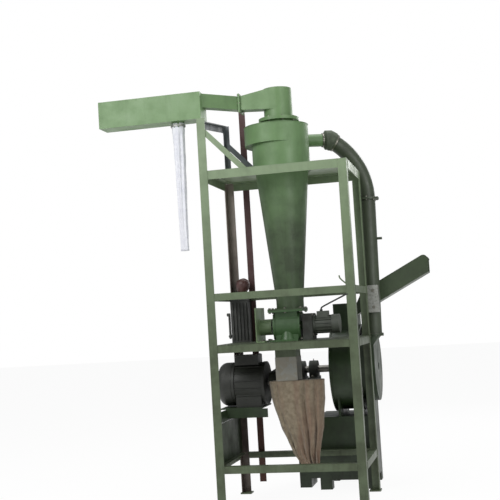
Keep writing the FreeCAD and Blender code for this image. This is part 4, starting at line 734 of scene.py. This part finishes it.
@dataclass
class Stand(Assembly):
    """The welded stand of rolled angle with its decks and the header's outrigger."""

    legs: Sequence[str] = ("leg_front_left", "leg_front_right", "leg_rear_left", "leg_rear_right")
    rails: Sequence[str] = ("bottom_rails", "shelf_rails", "middle_rails", "top_rails")
    plates: Sequence[str] = ("foot_plates", "cyclone_deck", "airlock_shelf")
    bead: WeldBead = WeldBead()
    hook_path: Sequence[Point] = (
        (0.474, -0.377, 1.520), (0.462, -0.379, 1.532), (0.440, -0.381, 1.552), (0.428, -0.381, 1.566),
        (0.425, -0.381, 1.584))
    hook_radius: float = 5 * MM

    def build(self) -> None:
        """Dresses the stand and adds its welds and hook."""
        self.shop.dress(Finish.FRAME_GREEN, *self.legs, *self.plates, "brace_front", *self.rails)
        self.shop.dress(Finish.SLATE, "rear_post", "brace_rear", "header_rail")
        self.shop.dress(Finish.FRAME_BROWN, "leg_rear_left")
        self.shop.dress(Finish.RED_OXIDE, "rear_upright")
        # The near-black mill green on these two is painted shade, darker still towards the floor.
        self.shop.dress(Finish.MILL_GREEN, "motor_platform", "side_panel")
        self.rail_welds()
        self.foot_welds()
        self.leg_hook()

    def rail_welds(self) -> None:
        """Welds each rail's outer faces to the legs beside them."""
        leg_low, leg_high = node_box("leg_front_left")
        leg = leg_high.x - leg_low.x
        mesh = bmesh.new()
        for node in self.rails:
            low, high = node_box(node)
            spots = [(x, y) for x in (low.x + leg, high.x - leg) for y in (low.y, high.y)]
            spots += [(x, y) for y in (low.y + leg, high.y - leg) for x in (low.x, high.x)]
            for x, y in spots:
                self.bead.add(mesh, Vector((x, y, low.z)), Vector((x, y, high.z)))
        self.shop.piece("rail_welds", mesh, Finish.FRAME_GREEN, self.body)

    def foot_welds(self) -> None:
        """Welds the legs' outer faces down to their foot plates."""
        mesh = bmesh.new()
        foot_top = node_box("foot_plates")[1].z
        for node in self.legs:
            low, high = node_box(node)
            outer_x = low.x if low.x + high.x < 0 else high.x
            outer_y = low.y if low.y + high.y < 0 else high.y
            self.bead.add(mesh, Vector((low.x, outer_y, foot_top)), Vector((high.x, outer_y, foot_top)))
            self.bead.add(mesh, Vector((outer_x, low.y, foot_top)), Vector((outer_x, high.y, foot_top)))
        self.shop.piece("foot_welds", mesh, Finish.FRAME_GREEN, self.body)

    def leg_hook(self) -> None:
        """Adds the bent rod on the front right leg that the photo shows above the middle rail."""
        mesh = bmesh.new()
        path = rounded(self.hook_path)
        add_bar(mesh, path, [self.hook_radius] * len(path))
        self.shop.piece("leg_hook", mesh, Finish.FRAME_GREEN, self.body)


@dataclass
class Cyclone(Assembly):
    """The cyclone, its outlet head, the exhaust duct and the header."""

    flange_wall: float = 12 * MM
    ring_wall: float = 8 * MM
    ring_inset: float = 22 * MM
    head_inset: float = 20 * MM
    ring_seam_inset: float = 48 * MM
    head_seam_inset: float = 43 * MM
    bolt_count: int = 8
    duct_flange_side: float = 136 * MM
    duct_flange_wall: float = 6 * MM
    duct_inset: float = 9 * MM
    bead: WeldBead = WeldBead(2.2 * MM)
    seam_runs: int = 97

    def build(self) -> None:
        """Dresses the cyclone group and adds its bolts and seams."""
        self.shop.dress(Finish.CYCLONE_GREEN, "cyclone_shell", "cyclone_cover")
        self.shop.dress(Finish.HEADER_GREEN, "outlet_head", "exhaust_duct", "header_box")
        self.shop.dress(Finish.ZINC, "filter_bag_clamp")
        self.head_bolts()
        self.ring_bolts()
        self.duct_bolts()
        self.seams()

    def axis(self, level: float) -> Vector:
        """Gives the point of the cyclone's axis at a level, from the outlet head's box."""
        low, high = node_box("outlet_head")
        return Vector((high.x - (high.y - low.y) / 2, (low.y + high.y) / 2, level))

    def head_reach(self, inset: float) -> float:
        """Gives the distance from the axis to a point inset from the head flange's rim."""
        return node_box("outlet_head")[1].x - self.axis(0).x - inset

    def ring_reach(self, inset: float) -> float:
        """Gives the distance from the axis to a point inset from the support ring's rim."""
        return self.axis(0).y - node_box("cyclone_shell")[0].y - inset

    def head_bolts(self) -> None:
        """Bolts the outlet head's flange to the cover's."""
        mesh = bmesh.new()
        seat = self.axis(node_box("outlet_head")[0].z) + UP * self.flange_wall
        seats = circle(seat, UP, self.head_reach(self.head_inset), self.bolt_count, math.pi / self.bolt_count)
        HexBolt(8 * MM).add_all(mesh, seats, UP, 2 * self.flange_wall)
        self.add_bolts("head_flange_bolts", mesh)

    def ring_bolts(self) -> None:
        """Bolts the cyclone's support ring down to the deck."""
        mesh = bmesh.new()
        seat = self.axis(node_box("cyclone_deck")[1].z + self.ring_wall)
        seats = circle(seat, UP, self.ring_reach(self.ring_inset), self.bolt_count, math.pi / self.bolt_count)
        HexBolt(10 * MM).add_all(mesh, seats, UP)
        self.add_bolts("support_ring_bolts", mesh)

    def duct_bolts(self) -> None:
        """Bolts the exhaust duct's square flange to the branch's."""
        mesh = bmesh.new()
        high = node_box("exhaust_duct")[1]
        half = self.duct_flange_side / 2
        centre = Vector((high.x - self.duct_flange_wall, high.y - half, high.z - half))
        reach = half - self.duct_inset
        steps = [(level, rise) for level in (-1, 0, 1) for rise in (-1, 0, 1) if level or rise]
        seats = [centre + Vector((0, level * reach, rise * reach)) for level, rise in steps]
        HexBolt(6 * MM).add_all(mesh, seats, -RIGHT, 2 * self.duct_flange_wall)
        self.add_bolts("duct_flange_bolts", mesh)

    def seams(self) -> None:
        """Lays the weld seams where the barrel meets its ring and the outlet head its flange."""
        mesh = bmesh.new()
        head_level = node_box("outlet_head")[0].z + self.flange_wall
        ring_level = node_box("cyclone_deck")[1].z + self.ring_wall
        for level, radius in ((head_level, self.head_reach(self.head_seam_inset)),
                              (ring_level, self.ring_reach(self.ring_seam_inset))):
            spots = circle(self.axis(level), UP, radius, self.seam_runs)
            for first, second in zip(spots, spots[1:] + spots[:1]):
                self.bead.add(mesh, first, second)
        self.shop.piece("cyclone_seams", mesh, Finish.CYCLONE_GREEN, self.body)


@dataclass
class Conveyor(Assembly):
    """The powder's pipe from the mill's fan to the cyclone."""

    riser_top: Point = (0.5612, 0.4750, 2.1880)
    riser_foot: Point = (0.5445, 0.4680, 1.1500)
    flange_wall: float = 8 * MM
    top_circle: float = 75 * MM
    top_bolt_count: int = 8
    foot_circle: float = 66 * MM
    foot_bolt_count: int = 10
    clamp_inset: float = 40 * MM
    kink: Point = (0.3106, 0.3737, 2.6535)
    inlet_turn: float = 22.016
    kink_dip: float = 30.0
    cuff_middle: float = 52 * MM
    cuff_radii: Span = (53.1 * MM, 67.2 * MM)
    band_width: float = 9 * MM
    band_wall: float = 1.2 * MM
    band_sides: int = 64

    def build(self) -> None:
        """Dresses the pipe and adds its bolts and hose clips."""
        self.shop.dress(Finish.PIPE_GREEN, "pipe_bend", "riser_pipe")
        self.shop.dress(Finish.DUSTY_RUBBER, "rubber_sleeve")
        self.shop.dress(Finish.ZINC, "riser_clamp")
        self.flange_bolts()
        self.clamp_bolts()
        self.hose_clips()

    def flange_bolts(self) -> None:
        """Bolts the riser's two flanges."""
        mesh = bmesh.new()
        top, foot = Vector(self.riser_top), Vector(self.riser_foot)
        way = (top - foot).normalized()
        for bolt, end, reach, count in ((HexBolt(8 * MM), top, self.top_circle, self.top_bolt_count),
                                        (HexBolt(5 * MM), foot, self.foot_circle, self.foot_bolt_count)):
            seats = circle(end + way * self.flange_wall, way, reach, count)
            bolt.add_all(mesh, seats, way, 2 * self.flange_wall)
        self.add_bolts("riser_flange_bolts", mesh)

    def clamp_bolts(self) -> None:
        """Sets the two bolts that hold the riser's clamp block, beside the leg."""
        low, high = node_box("riser_clamp")
        x = (node_box("leg_rear_right")[1].x + high.x) / 2
        mesh = bmesh.new()
        seats = [Vector((x, low.y, z)) for z in (low.z + self.clamp_inset, high.z - self.clamp_inset)]
        HexBolt(12 * MM).add_all(mesh, seats, FRONT)
        self.add_bolts("clamp_bolts", mesh)

    def hose_clips(self) -> None:
        """Puts a steel worm-drive clip round each cuff of the rubber sleeve."""
        mesh = bmesh.new()
        turn = math.radians(self.inlet_turn)
        dip = math.radians(self.kink_dip)
        level = Vector((math.cos(turn), math.sin(turn), 0))
        falling = level * math.cos(dip) - UP * math.sin(dip)
        half = self.band_width / 2
        for way, radius in ((-level, self.cuff_radii[0]), (falling, self.cuff_radii[1])):
            middle = Vector(self.kink) + way * self.cuff_middle
            outside = radius + self.band_wall
            band = [(-half, radius), (-half, outside), (half, outside), (half, radius)]
            add_turned(mesh, middle, way, band, self.band_sides, close_ends=False)
            front = across(way)[0]
            front = -front if front.y > 0 else front
            HexBolt(6 * MM).add(mesh, middle + front * outside, front)
        self.add_bolts("sleeve_clips", mesh)


@dataclass
class Airlock(Assembly):
    """The rotary airlock with its geared motor and the spout below it."""

    cover_circle: float = 95 * MM
    cover_bolt_count: int = 6
    boss_height: float = 14 * MM
    flange_wall: float = 12 * MM
    flange_inset: float = 13 * MM
    pedestal_foot: float = 8 * MM
    pedestal_inset: Span = (70 * MM, 30 * MM)
    gear_inset: float = 14 * MM
    conduit_radius: float = 5.5 * MM
    conduit_path: Sequence[Point] = (
        (0.225, 0.000, 1.346), (0.225, 0.000, 1.370), (0.238, -0.018, 1.381), (0.450, -0.352, 1.447),
        (0.463, -0.377, 1.452), (0.476, -0.379, 1.452))
    gland: Sequence[Span] = ((0, 11 * MM), (14 * MM, 11 * MM), (18 * MM, 7 * MM))

    def build(self) -> None:
        """Dresses the airlock and adds its bolts and the motor's conduit."""
        # The airlock's darker green is painted shade on the one green paint.
        self.shop.dress(Finish.AIRLOCK_GREEN, "airlock_body", "airlock_cover_left", "airlock_cover_right")
        self.shop.dress(Finish.PLATE_GREEN, "airlock_pedestal")
        self.shop.dress(Finish.BRIGHT_STEEL, "airlock_rotor")
        self.shop.dress(Finish.CAST_IRON, "gear_head")
        self.shop.dress(Finish.GEAR_GREY, "gear_motor")
        self.shop.dress(Finish.PALE_ZINC, "discharge_spout")
        self.cover_bolts()
        self.body_bolts()
        self.gear_bolts()
        self.conduit()

    def cover_bolts(self) -> None:
        """Sets a ring of bolts on each end cover."""
        mesh = bmesh.new()
        left = node_box("airlock_cover_left")[0].x + self.boss_height
        right = node_box("airlock_cover_right")[1].x - self.boss_height
        level = node_middle("airlock_rotor").z
        for x, normal in ((left, -RIGHT), (right, RIGHT)):
            seats = circle(Vector((x, 0, level)), normal, self.cover_circle, self.cover_bolt_count)
            HexBolt(8 * MM).add_all(mesh, seats, normal)
        self.add_bolts("airlock_cover_bolts", mesh)

    def body_bolts(self) -> None:
        """Bolts the body between the cyclone's flange and the shelf, and the pedestal to the shelf."""
        mesh = bmesh.new()
        low, high = node_box("airlock_body")
        middle = node_middle("airlock_body")
        left, right = low.x + self.flange_inset, high.x - self.flange_inset
        front, back = low.y + self.flange_inset, high.y - self.flange_inset
        top = [(left, front), (left, middle.y), (left, back), (right, front), (right, back),
               (middle.x, front), (middle.x, back)]
        seats = [Vector((x, y, high.z + self.flange_wall)) for x, y in top]
        HexBolt(10 * MM).add_all(mesh, seats, UP, 2 * self.flange_wall)
        seats = [Vector((x, y, low.z + self.flange_wall)) for x in (left, right) for y in (front, back)]
        HexBolt(10 * MM).add_all(mesh, seats, UP)
        low, high = node_box("airlock_pedestal")
        inset_x, inset_y = self.pedestal_inset
        seats = [Vector((low.x + inset_x, y, low.z + self.pedestal_foot))
                 for y in (low.y + inset_y, high.y - inset_y)]
        HexBolt(12 * MM).add_all(mesh, seats, UP)
        self.add_bolts("airlock_bolts", mesh)

    def gear_bolts(self) -> None:
        """Bolts the motor's flange to the gear head, a bolt in each corner."""
        low, high = node_box("gear_head")
        level = node_middle("airlock_rotor").z
        half = (high.y - low.y) / 2 - self.gear_inset
        mesh = bmesh.new()
        seats = [Vector((high.x, y, level + z)) for y in (-half, half) for z in (-half, half)]
        HexBolt(10 * MM).add_all(mesh, seats, RIGHT)
        self.add_bolts("gear_head_bolts", mesh)

    def conduit(self) -> None:
        """Adds the thin stiff conduit from the motor's terminal box to the front right leg."""
        mesh = bmesh.new()
        path = rounded(self.conduit_path)
        add_bar(mesh, path, [self.conduit_radius] * len(path))
        add_turned(mesh, path[0], UP, self.gland, 6)
        self.shop.piece("motor_conduit", mesh, Finish.BLACK_PLASTIC, self.body)


@dataclass
class Mill(Assembly):
    """The beater mill with its fan, feed and base."""

    block_length: float = 64 * MM
    block_foot: float = 30 * MM
    block_inset: float = 20 * MM
    nipple_sunk: float = 1 * MM
    nipple: Sequence[Span] = (
        (0, 5 * MM), (5 * MM, 5 * MM), (6 * MM, 3 * MM), (13 * MM, 3 * MM), (15 * MM, 1.6 * MM))
    nipple_sides: int = 12
    hem_radius: float = 3.5 * MM
    hem_inset: float = 1.5 * MM
    tray_angle: float = 27.5
    tray_corner: float = 32 * MM
    tray_lap: float = 60 * MM
    corner_steps: int = 8

    def build(self) -> None:
        """Dresses the mill and adds its bolts, grease nipples and the tray's rolled hem."""
        # The mill's near-black green is painted shade on the one green paint, darker still towards the floor.
        self.shop.dress(Finish.MILL_GREEN, "mill_drum", "fan_case", "mill_base", "feed_hopper",
                        "fan_impeller")
        self.shop.dress(Finish.TRAY_GREEN, "feed_tray")
        self.shop.dress(Finish.BRIGHT_STEEL, "beater_rotor", "mill_shaft")
        self.shop.dress(Finish.CAST_IRON, "drum_liner", "mill_bearings", "mill_pulley")
        self.bearing_bolts()
        self.tray_hem()

    def bearing_bolts(self) -> None:
        """Bolts both plummer blocks down and gives each a grease nipple."""
        low, high = node_box("mill_bearings")
        mesh = bmesh.new()
        for x in (low.x + self.block_length / 2, high.x - self.block_length / 2):
            seats = [Vector((x, y, low.z + self.block_foot))
                     for y in (low.y + self.block_inset, high.y - self.block_inset)]
            HexBolt(14 * MM).add_all(mesh, seats, UP)
            top = Vector((x, (low.y + high.y) / 2, high.z - self.nipple_sunk))
            add_turned(mesh, top, UP, self.nipple, self.nipple_sides)
        self.add_bolts("bearing_bolts", mesh)

    def tray_hem(self) -> None:
        """Rolls a hem along the tray's two side walls, down to its outer end."""
        low, high = node_box("feed_tray")
        slope = math.radians(self.tray_angle)
        corner_run = self.tray_corner / math.tan((math.pi / 2 - slope) / 2)
        centre = Vector((high.x - self.tray_corner, 0, high.z - self.tray_corner))
        whole = math.pi / 2 + slope
        turns = [whole - whole * step / self.corner_steps for step in range(self.corner_steps + 1)]
        bend = [centre + Vector((math.cos(turn), 0, math.sin(turn))) * self.tray_corner for turn in turns]
        run = high.x - low.x - self.tray_lap - corner_run * math.cos(slope)
        start = bend[0] - Vector((math.cos(slope), 0, math.sin(slope))) * (run / math.cos(slope))
        mesh = bmesh.new()
        for y in (low.y + self.hem_inset, high.y - self.hem_inset):
            path = [point + Vector((0, y, 0)) for point in (start, *bend)]
            add_bar(mesh, path, [self.hem_radius] * len(path))
        self.shop.piece("tray_hem", mesh, Finish.TRAY_GREEN, self.body)


@dataclass
class Drive(Assembly):
    """The main motor, its pulley and belts, and the starter."""

    boot_path: Sequence[Point] = (
        (-0.444, 0.303, 1.532), (-0.432, 0.303, 1.552), (-0.420, 0.303, 1.580), (-0.414, 0.303, 1.606),
        (-0.411, 0.303, 1.628), (-0.410, 0.303, 1.638))
    boot_radii: Sequence[float] = (28 * MM, 46 * MM, 54 * MM, 52 * MM, 34 * MM, 6 * MM)
    boot_rounds: int = 2
    boot_sides: int = 32
    cap_screw_level: float = 1.4843
    cap_screw_insets: Span = (30 * MM, 20 * MM)
    lid_screws_x: Span = (32 * MM, 188 * MM)
    lid_screws_y: float = 58 * MM

    def build(self) -> None:
        """Dresses the drive and adds the boot on the starter's hood and the lids' screws."""
        self.shop.dress(Finish.MOTOR_GREY, "motor_frame", "motor_cowl")
        self.shop.dress(Finish.BLACK_PLASTIC, "motor_fan", "starter_box")
        self.shop.dress(Finish.BRIGHT_STEEL, "motor_shaft")
        self.shop.dress(Finish.CAST_IRON, "motor_pulley", "switch_handle")
        self.shop.dress(Finish.RUBBER, "drive_belts")
        self.hood_boot()
        self.starter_screws()
        self.lid_screws()

    def hood_boot(self) -> None:
        """Adds the round brown boot over the hood where the cables enter the starter."""
        mesh = bmesh.new()
        path = rounded(self.boot_path, self.boot_rounds)
        widths = rounded([(radius, 0, 0) for radius in self.boot_radii], self.boot_rounds)
        radii = [width.x for width in widths]
        add_bar(mesh, path, radii, self.boot_sides)
        self.shop.piece("starter_boot", mesh, Finish.RED_PLASTIC, self.body)

    def starter_screws(self) -> None:
        """Sets a screw in both lower corners of the starter's cap."""
        low, high = node_box("starter_box")
        mesh = bmesh.new()
        left, right = self.cap_screw_insets
        seats = [Vector((x, low.y, self.cap_screw_level)) for x in (low.x + left, high.x - right)]
        HexBolt(5 * MM).add_all(mesh, seats, FRONT)
        self.add_bolts("starter_screws", mesh)

    def lid_screws(self) -> None:
        """Sets the lid's screws on the main motor's terminal box."""
        low, high = node_box("motor_frame")
        middle = (low.y + high.y) / 2
        mesh = bmesh.new()
        seats = [Vector((low.x + x, y, high.z)) for x in self.lid_screws_x
                 for y in (middle - self.lid_screws_y, middle + self.lid_screws_y)]
        HexBolt(6 * MM).add_all(mesh, seats, UP)
        self.add_bolts("motor_lid_screws", mesh)


@dataclass
class ClothBag(Assembly):
    """A cloth bag, skinned over rings of points."""

    columns: int = 72
    rows: int = 60

    def ruffle(self, angle: float, level: float, scale: Span) -> float:
        """Gives smooth noise at a place on the cloth, at one scale round the bag and one along it."""
        return noise.noise(Vector((math.cos(angle) * scale[0], math.sin(angle) * scale[0], level * scale[1])))

    def levels(self, node: str) -> list[Span]:
        """Gives each ring's height in a node's box, and its share of the way up."""
        low, high = node_box(node)
        return [(low.z + (high.z - low.z) * row / self.rows, row / self.rows) for row in range(self.rows + 1)]

    def sew(self, name: str, rings: Sequence[Sequence[Vector]], finish: Finish) -> bpy.types.Object:
        """Skins a bag over its rings.

        Args:
            name: the cloth's name.
            rings: the rings of points from the foot to the top.
            finish: the cloth's finish.

        Returns:
            The cloth.
        """
        mesh = bmesh.new()
        add_rings(mesh, rings)
        return self.shop.piece(name, mesh, finish, self.body)


@dataclass
class ProductBag(ClothBag):
    """The cloth bag that catches the powder: wide at the spout, folded, tied at its foot."""

    columns: int = 180
    rows: int = 72
    pleats: int = 13
    pleat_depth: float = 9 * MM
    pleat_wander: float = 0.5
    pleat_growth: float = 1.5
    wander_scale: Span = (1.4, 3.0)
    crumple: float = 5 * MM
    crumple_scale: Span = (5.0, 16.0)
    drift: float = 0.03
    drift_scale: float = 5.0
    drift_place: Span = (4.1, 0.7)
    fold_start: float = 0.55
    fold_growth: float = 2.2
    side_swell: float = 0.6
    hem_height: float = 24 * MM
    hem_step: float = 2.5 * MM
    squareness: float = 0.8
    stations: Sequence[tuple[float, float, float, float]] = (
        (0.2500, 0.026, 0.148, 0.036), (0.2950, -0.004, 0.152, 0.040), (0.3450, -0.034, 0.158, 0.048),
        (0.5190, -0.112, 0.196, 0.066), (0.7280, -0.170, 0.218, 0.076), (0.8647, -0.180, 0.220, 0.078))
    front_folds: Sequence[Point] = (
        (0.06, 0.03, 12 * MM), (0.13, 0.025, -14 * MM), (0.32, 0.12, -6 * MM), (0.45, 0.02, -12 * MM),
        (0.55, 0.035, 18 * MM), (0.635, 0.025, -30 * MM), (0.73, 0.035, 12 * MM), (0.84, 0.025, -30 * MM),
        (0.92, 0.03, 14 * MM))

    def outline(self, level: float) -> Point:
        """Gives the bag's outline at a height, between the stations below and above it.

        Args:
            level: the height in metres.

        Returns:
            The left and right edges' X and the half depth.
        """
        for lower, upper in zip(self.stations, self.stations[1:]):
            if level <= upper[0]:
                share = (level - lower[0]) / (upper[0] - lower[0])
                left, right, deep = (low + (high - low) * share for low, high in zip(lower[1:], upper[1:]))
                return left, right, deep
        return self.stations[-1][1:]

    def fold(self, share: float) -> float:
        """Gives how far the front cloth stands out at a share of the width from the left."""
        return sum(reach * math.exp(-((share - place) / width) ** 2)
                   for place, width, reach in self.front_folds)

    def ring(self, middle: Vector, level: float, share: float) -> list[Vector]:
        """Gives the cloth's points round the bag at one height.

        Args:
            middle: the middle of the bag's box.
            level: the height in metres.
            share: 0 at the foot and 1 at the top.

        Returns:
            The ring of points.
        """
        left, right, deep = self.outline(level)
        half = (right - left) / 2
        fall = 1 - share
        hem = self.hem_step if level > self.stations[-1][0] - self.hem_height else 0.0
        drift = self.drift * noise.noise(Vector((level * self.drift_scale, *self.drift_place)))
        grown = self.fold_start + (1 - self.fold_start) * min(1.0, self.fold_growth * fall)
        points = []
        for column in range(self.columns):
            angle = math.tau * column / self.columns
            cosine, sine = math.cos(angle), math.sin(angle)
            wide = math.copysign(abs(cosine) ** self.squareness, cosine)
            back = math.copysign(abs(sine) ** self.squareness, sine)
            turn = angle + self.pleat_wander * self.ruffle(angle, level, self.wander_scale)
            pleat = math.sin(self.pleats * turn) * self.pleat_depth * fall ** self.pleat_growth
            rough = self.crumple * self.ruffle(angle, level, self.crumple_scale)
            swell = -self.pleat_depth * fall + pleat + rough + hem
            lift = self.fold((wide + 1) / 2 + drift) * abs(sine) * grown if sine < 0 else 0.0
            points.append(Vector(((left + right) / 2 + (half + self.side_swell * swell) * wide,
                                  middle.y + (deep + swell) * back - lift, level)))
        return points

    def build(self) -> None:
        """Builds the bag in the place of its plain solid."""
        middle = node_middle("product_bag")
        rings = [self.ring(middle, level, share) for level, share in self.levels("product_bag")]
        bag = self.sew("product_bag_cloth", rings, Finish.BAG_CLOTH)
        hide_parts("product_bag")


@dataclass
class FilterBag(ClothBag):
    """The slim white filter bag below the header, slack and slightly folded."""

    folds: int = 7
    fold_depth: float = 6 * MM
    fold_sway: Span = (0.9, 4.0)
    slack_reach: float = 1.02
    slack_power: float = 0.6
    crumple: float = 3 * MM
    crumple_scale: Span = (3.0, 11.0)
    clamped_from: float = 0.93
    clamped_width: float = 0.94
    foot_width: float = 0.62
    width_gain: float = 0.3
    round_from: float = 0.9
    foot_depth: float = 0.45

    def ring(self, middle: Vector, radius: float, level: float, share: float) -> list[Vector]:
        """Gives the cloth's points round the bag at one height.

        Args:
            middle: the middle of the bag's box.
            radius: the box's half width.
            level: the height in metres.
            share: 0 at the foot and 1 at the top.

        Returns:
            The ring of points.
        """
        slack = math.sin(math.pi * min(1.0, share * self.slack_reach)) ** self.slack_power
        width = self.clamped_width if share > self.clamped_from else self.foot_width + self.width_gain * share
        deep = self.foot_depth + (1 - self.foot_depth) * min(1.0, share / self.round_from)
        sway = self.fold_sway[0] * math.sin(level * self.fold_sway[1])
        points = []
        for column in range(self.columns):
            angle = math.tau * column / self.columns
            wave = (math.sin(self.folds * angle + sway) - 1) * self.fold_depth * slack
            rough = self.crumple * self.ruffle(angle, level, self.crumple_scale)
            reach = radius * width + wave + rough
            points.append(Vector((middle.x + reach * math.cos(angle),
                                  middle.y + reach * deep * math.sin(angle), level)))
        return points

    def build(self) -> None:
        """Builds the bag in the place of its plain solid."""
        low, high = node_box("filter_bag")
        middle, radius = (low + high) / 2, (high.x - low.x) / 2
        rings = [self.ring(middle, radius, level, share) for level, share in self.levels("filter_bag")]
        bag = self.sew("filter_bag_cloth", rings, Finish.FILTER_CLOTH)
        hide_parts("filter_bag")


@dataclass
class PhotoCamera:
    """The camera at the photograph's place, with its slight roll."""

    place: Point = (1.385, -7.172, 1.314)
    left_turn: float = 13.04
    upward: float = 4.01
    roll: float = 3.42
    focal_px: float = 1000.0
    image_px: float = 500.0
    sensor_mm: float = 36.0
    sight: float = 60.0

    def build(self) -> None:
        """Creates the camera and makes it the scene's own."""
        turn, rise, roll = (math.radians(a) for a in (self.left_turn, self.upward, self.roll))
        right = Vector((math.cos(turn), math.sin(turn), 0))
        level = Vector((-math.sin(turn), math.cos(turn), 0))
        forward = level * math.cos(rise) + UP * math.sin(rise)
        upright = UP * math.cos(rise) - level * math.sin(rise)
        side = right * math.cos(roll) - upright * math.sin(roll)
        top = right * math.sin(roll) + upright * math.cos(roll)
        data = bpy.data.cameras.new("photo_camera")
        data.sensor_fit = "HORIZONTAL"
        data.sensor_width = self.sensor_mm
        data.lens = self.focal_px / self.image_px * data.sensor_width
        data.clip_end = self.sight
        camera = bpy.data.objects.new("photo_camera", data)
        rows = zip(side, top, -forward, self.place)
        camera.matrix_world = Matrix((*rows, (0, 0, 0, 1)))
        bpy.context.scene.collection.objects.link(camera)
        bpy.context.scene.camera = camera


@dataclass(frozen=True)
class Softbox:
    """A square soft lamp."""

    name: str
    place: Point
    power: float
    side: float

    def build(self, aim: Point) -> None:
        """Hangs the lamp.

        Args:
            aim: the point that it shines at.
        """
        data = bpy.data.lights.new(self.name, "AREA")
        data.energy = self.power
        data.size = self.side
        lamp = bpy.data.objects.new(self.name, data)
        lamp.location = self.place
        lamp.rotation_euler = (Vector(aim) - Vector(self.place)).to_track_quat("-Z", "Y").to_euler()
        bpy.context.scene.collection.objects.link(lamp)


@dataclass
class Studio:
    """A pale floor and soft lights that leave colours about as they are written."""

    floor_half: float = 30.0
    floor_paint: str = "#F4F4F2"
    white_share: float = 0.94
    white: str = "#FFFFFF"
    surround: str = "#F2F4F6"
    surround_light: float = 0.42
    aim: Point = (0.0, 0.2, 1.5)
    lamps: Sequence[Softbox] = (
        Softbox("key", (-3.2, -5.2, 5.4), 260.0, 3.4), Softbox("fill", (4.6, -4.4, 3.2), 120.0, 3.0),
        Softbox("top", (0.2, 0.6, 6.2), 120.0, 3.6), Softbox("back", (2.0, 5.0, 4.0), 90.0, 3.0))

    def white_to(self, ray_names: Sequence[str], lit: Node, white: Node, share: float = 1.0) -> Node:
        """Mixes in white for the rays that only look.

        Args:
            ray_names: the two kinds of ray that see the white.
            lit: the shader that the other rays meet.
            white: the white shader.
            share: how much of what those rays see is white.

        Returns:
            The mixed shader.
        """
        tree = lit.id_data
        ray = add_node(tree, "ShaderNodeLightPath")
        first, second = (ray.outputs[name] for name in ray_names)
        looking = add_node(tree, "ShaderNodeMath", {0: first, 1: second}, operation="MAXIMUM")
        whiteness = add_node(tree, "ShaderNodeMath", {0: looking, 1: share}, operation="MULTIPLY")
        return add_node(tree, "ShaderNodeMixShader", {0: whiteness, 1: lit, 2: white})

    def floor(self) -> None:
        """Lays the floor, white to the camera where no shadow falls."""
        half = self.floor_half
        mesh = bmesh.new()
        spots = ((-half, -half), (half, -half), (half, half), (-half, half))
        mesh.faces.new([mesh.verts.new((x, y, 0)) for x, y in spots])
        data = bpy.data.meshes.new("studio_floor")
        mesh.to_mesh(data)
        mesh.free()
        item = bpy.data.objects.new("studio_floor", data)
        bpy.context.scene.collection.objects.link(item)
        material = bpy.data.materials.new("studio_floor_paint")
        material.use_nodes = True
        tree = material.node_tree
        tree.nodes.clear()
        matt = add_node(tree, "ShaderNodeBsdfDiffuse", {"Color": self.floor_paint})
        glow = add_node(tree, "ShaderNodeEmission", {"Color": self.white, "Strength": 1.0})
        mixed = self.white_to(("Is Camera Ray", "Is Glossy Ray"), matt, glow, self.white_share)
        add_node(tree, "ShaderNodeOutputMaterial", {"Surface": mixed})
        data.materials.append(material)

    def world(self) -> None:
        """Sets a white surround for the camera and a soft grey one for the light."""
        world = bpy.data.worlds.new("studio_surround")
        bpy.context.scene.world = world
        world.use_nodes = True
        tree = world.node_tree
        tree.nodes.clear()
        soft = add_node(tree, "ShaderNodeBackground", {
            "Color": self.surround, "Strength": self.surround_light})
        white = add_node(tree, "ShaderNodeBackground", {"Color": self.white, "Strength": 1.0})
        mixed = self.white_to(("Is Camera Ray", "Is Transmission Ray"), soft, white)
        add_node(tree, "ShaderNodeOutputWorld", {"Surface": mixed})

    def build(self) -> None:
        """Builds the floor, the surround and the lamps."""
        self.floor()
        self.world()
        for lamp in self.lamps:
            lamp.build(self.aim)
        bpy.context.scene.view_settings.view_transform = "Standard"


def main() -> None:
    """Builds the looks of the machine round its frame."""
    logging.basicConfig(level=logging.INFO, format="%(message)s")
    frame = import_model()
    shop = Workshop(frame)
    for group in (Stand(shop), Cyclone(shop), Conveyor(shop), Airlock(shop), Mill(shop), Drive(shop),
                  ProductBag(shop), FilterBag(shop), PhotoCamera(), Studio()):
        group.build()
        LOG.info("%s built", type(group).__name__)
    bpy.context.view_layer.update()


if __name__ == "__main__":
    main()
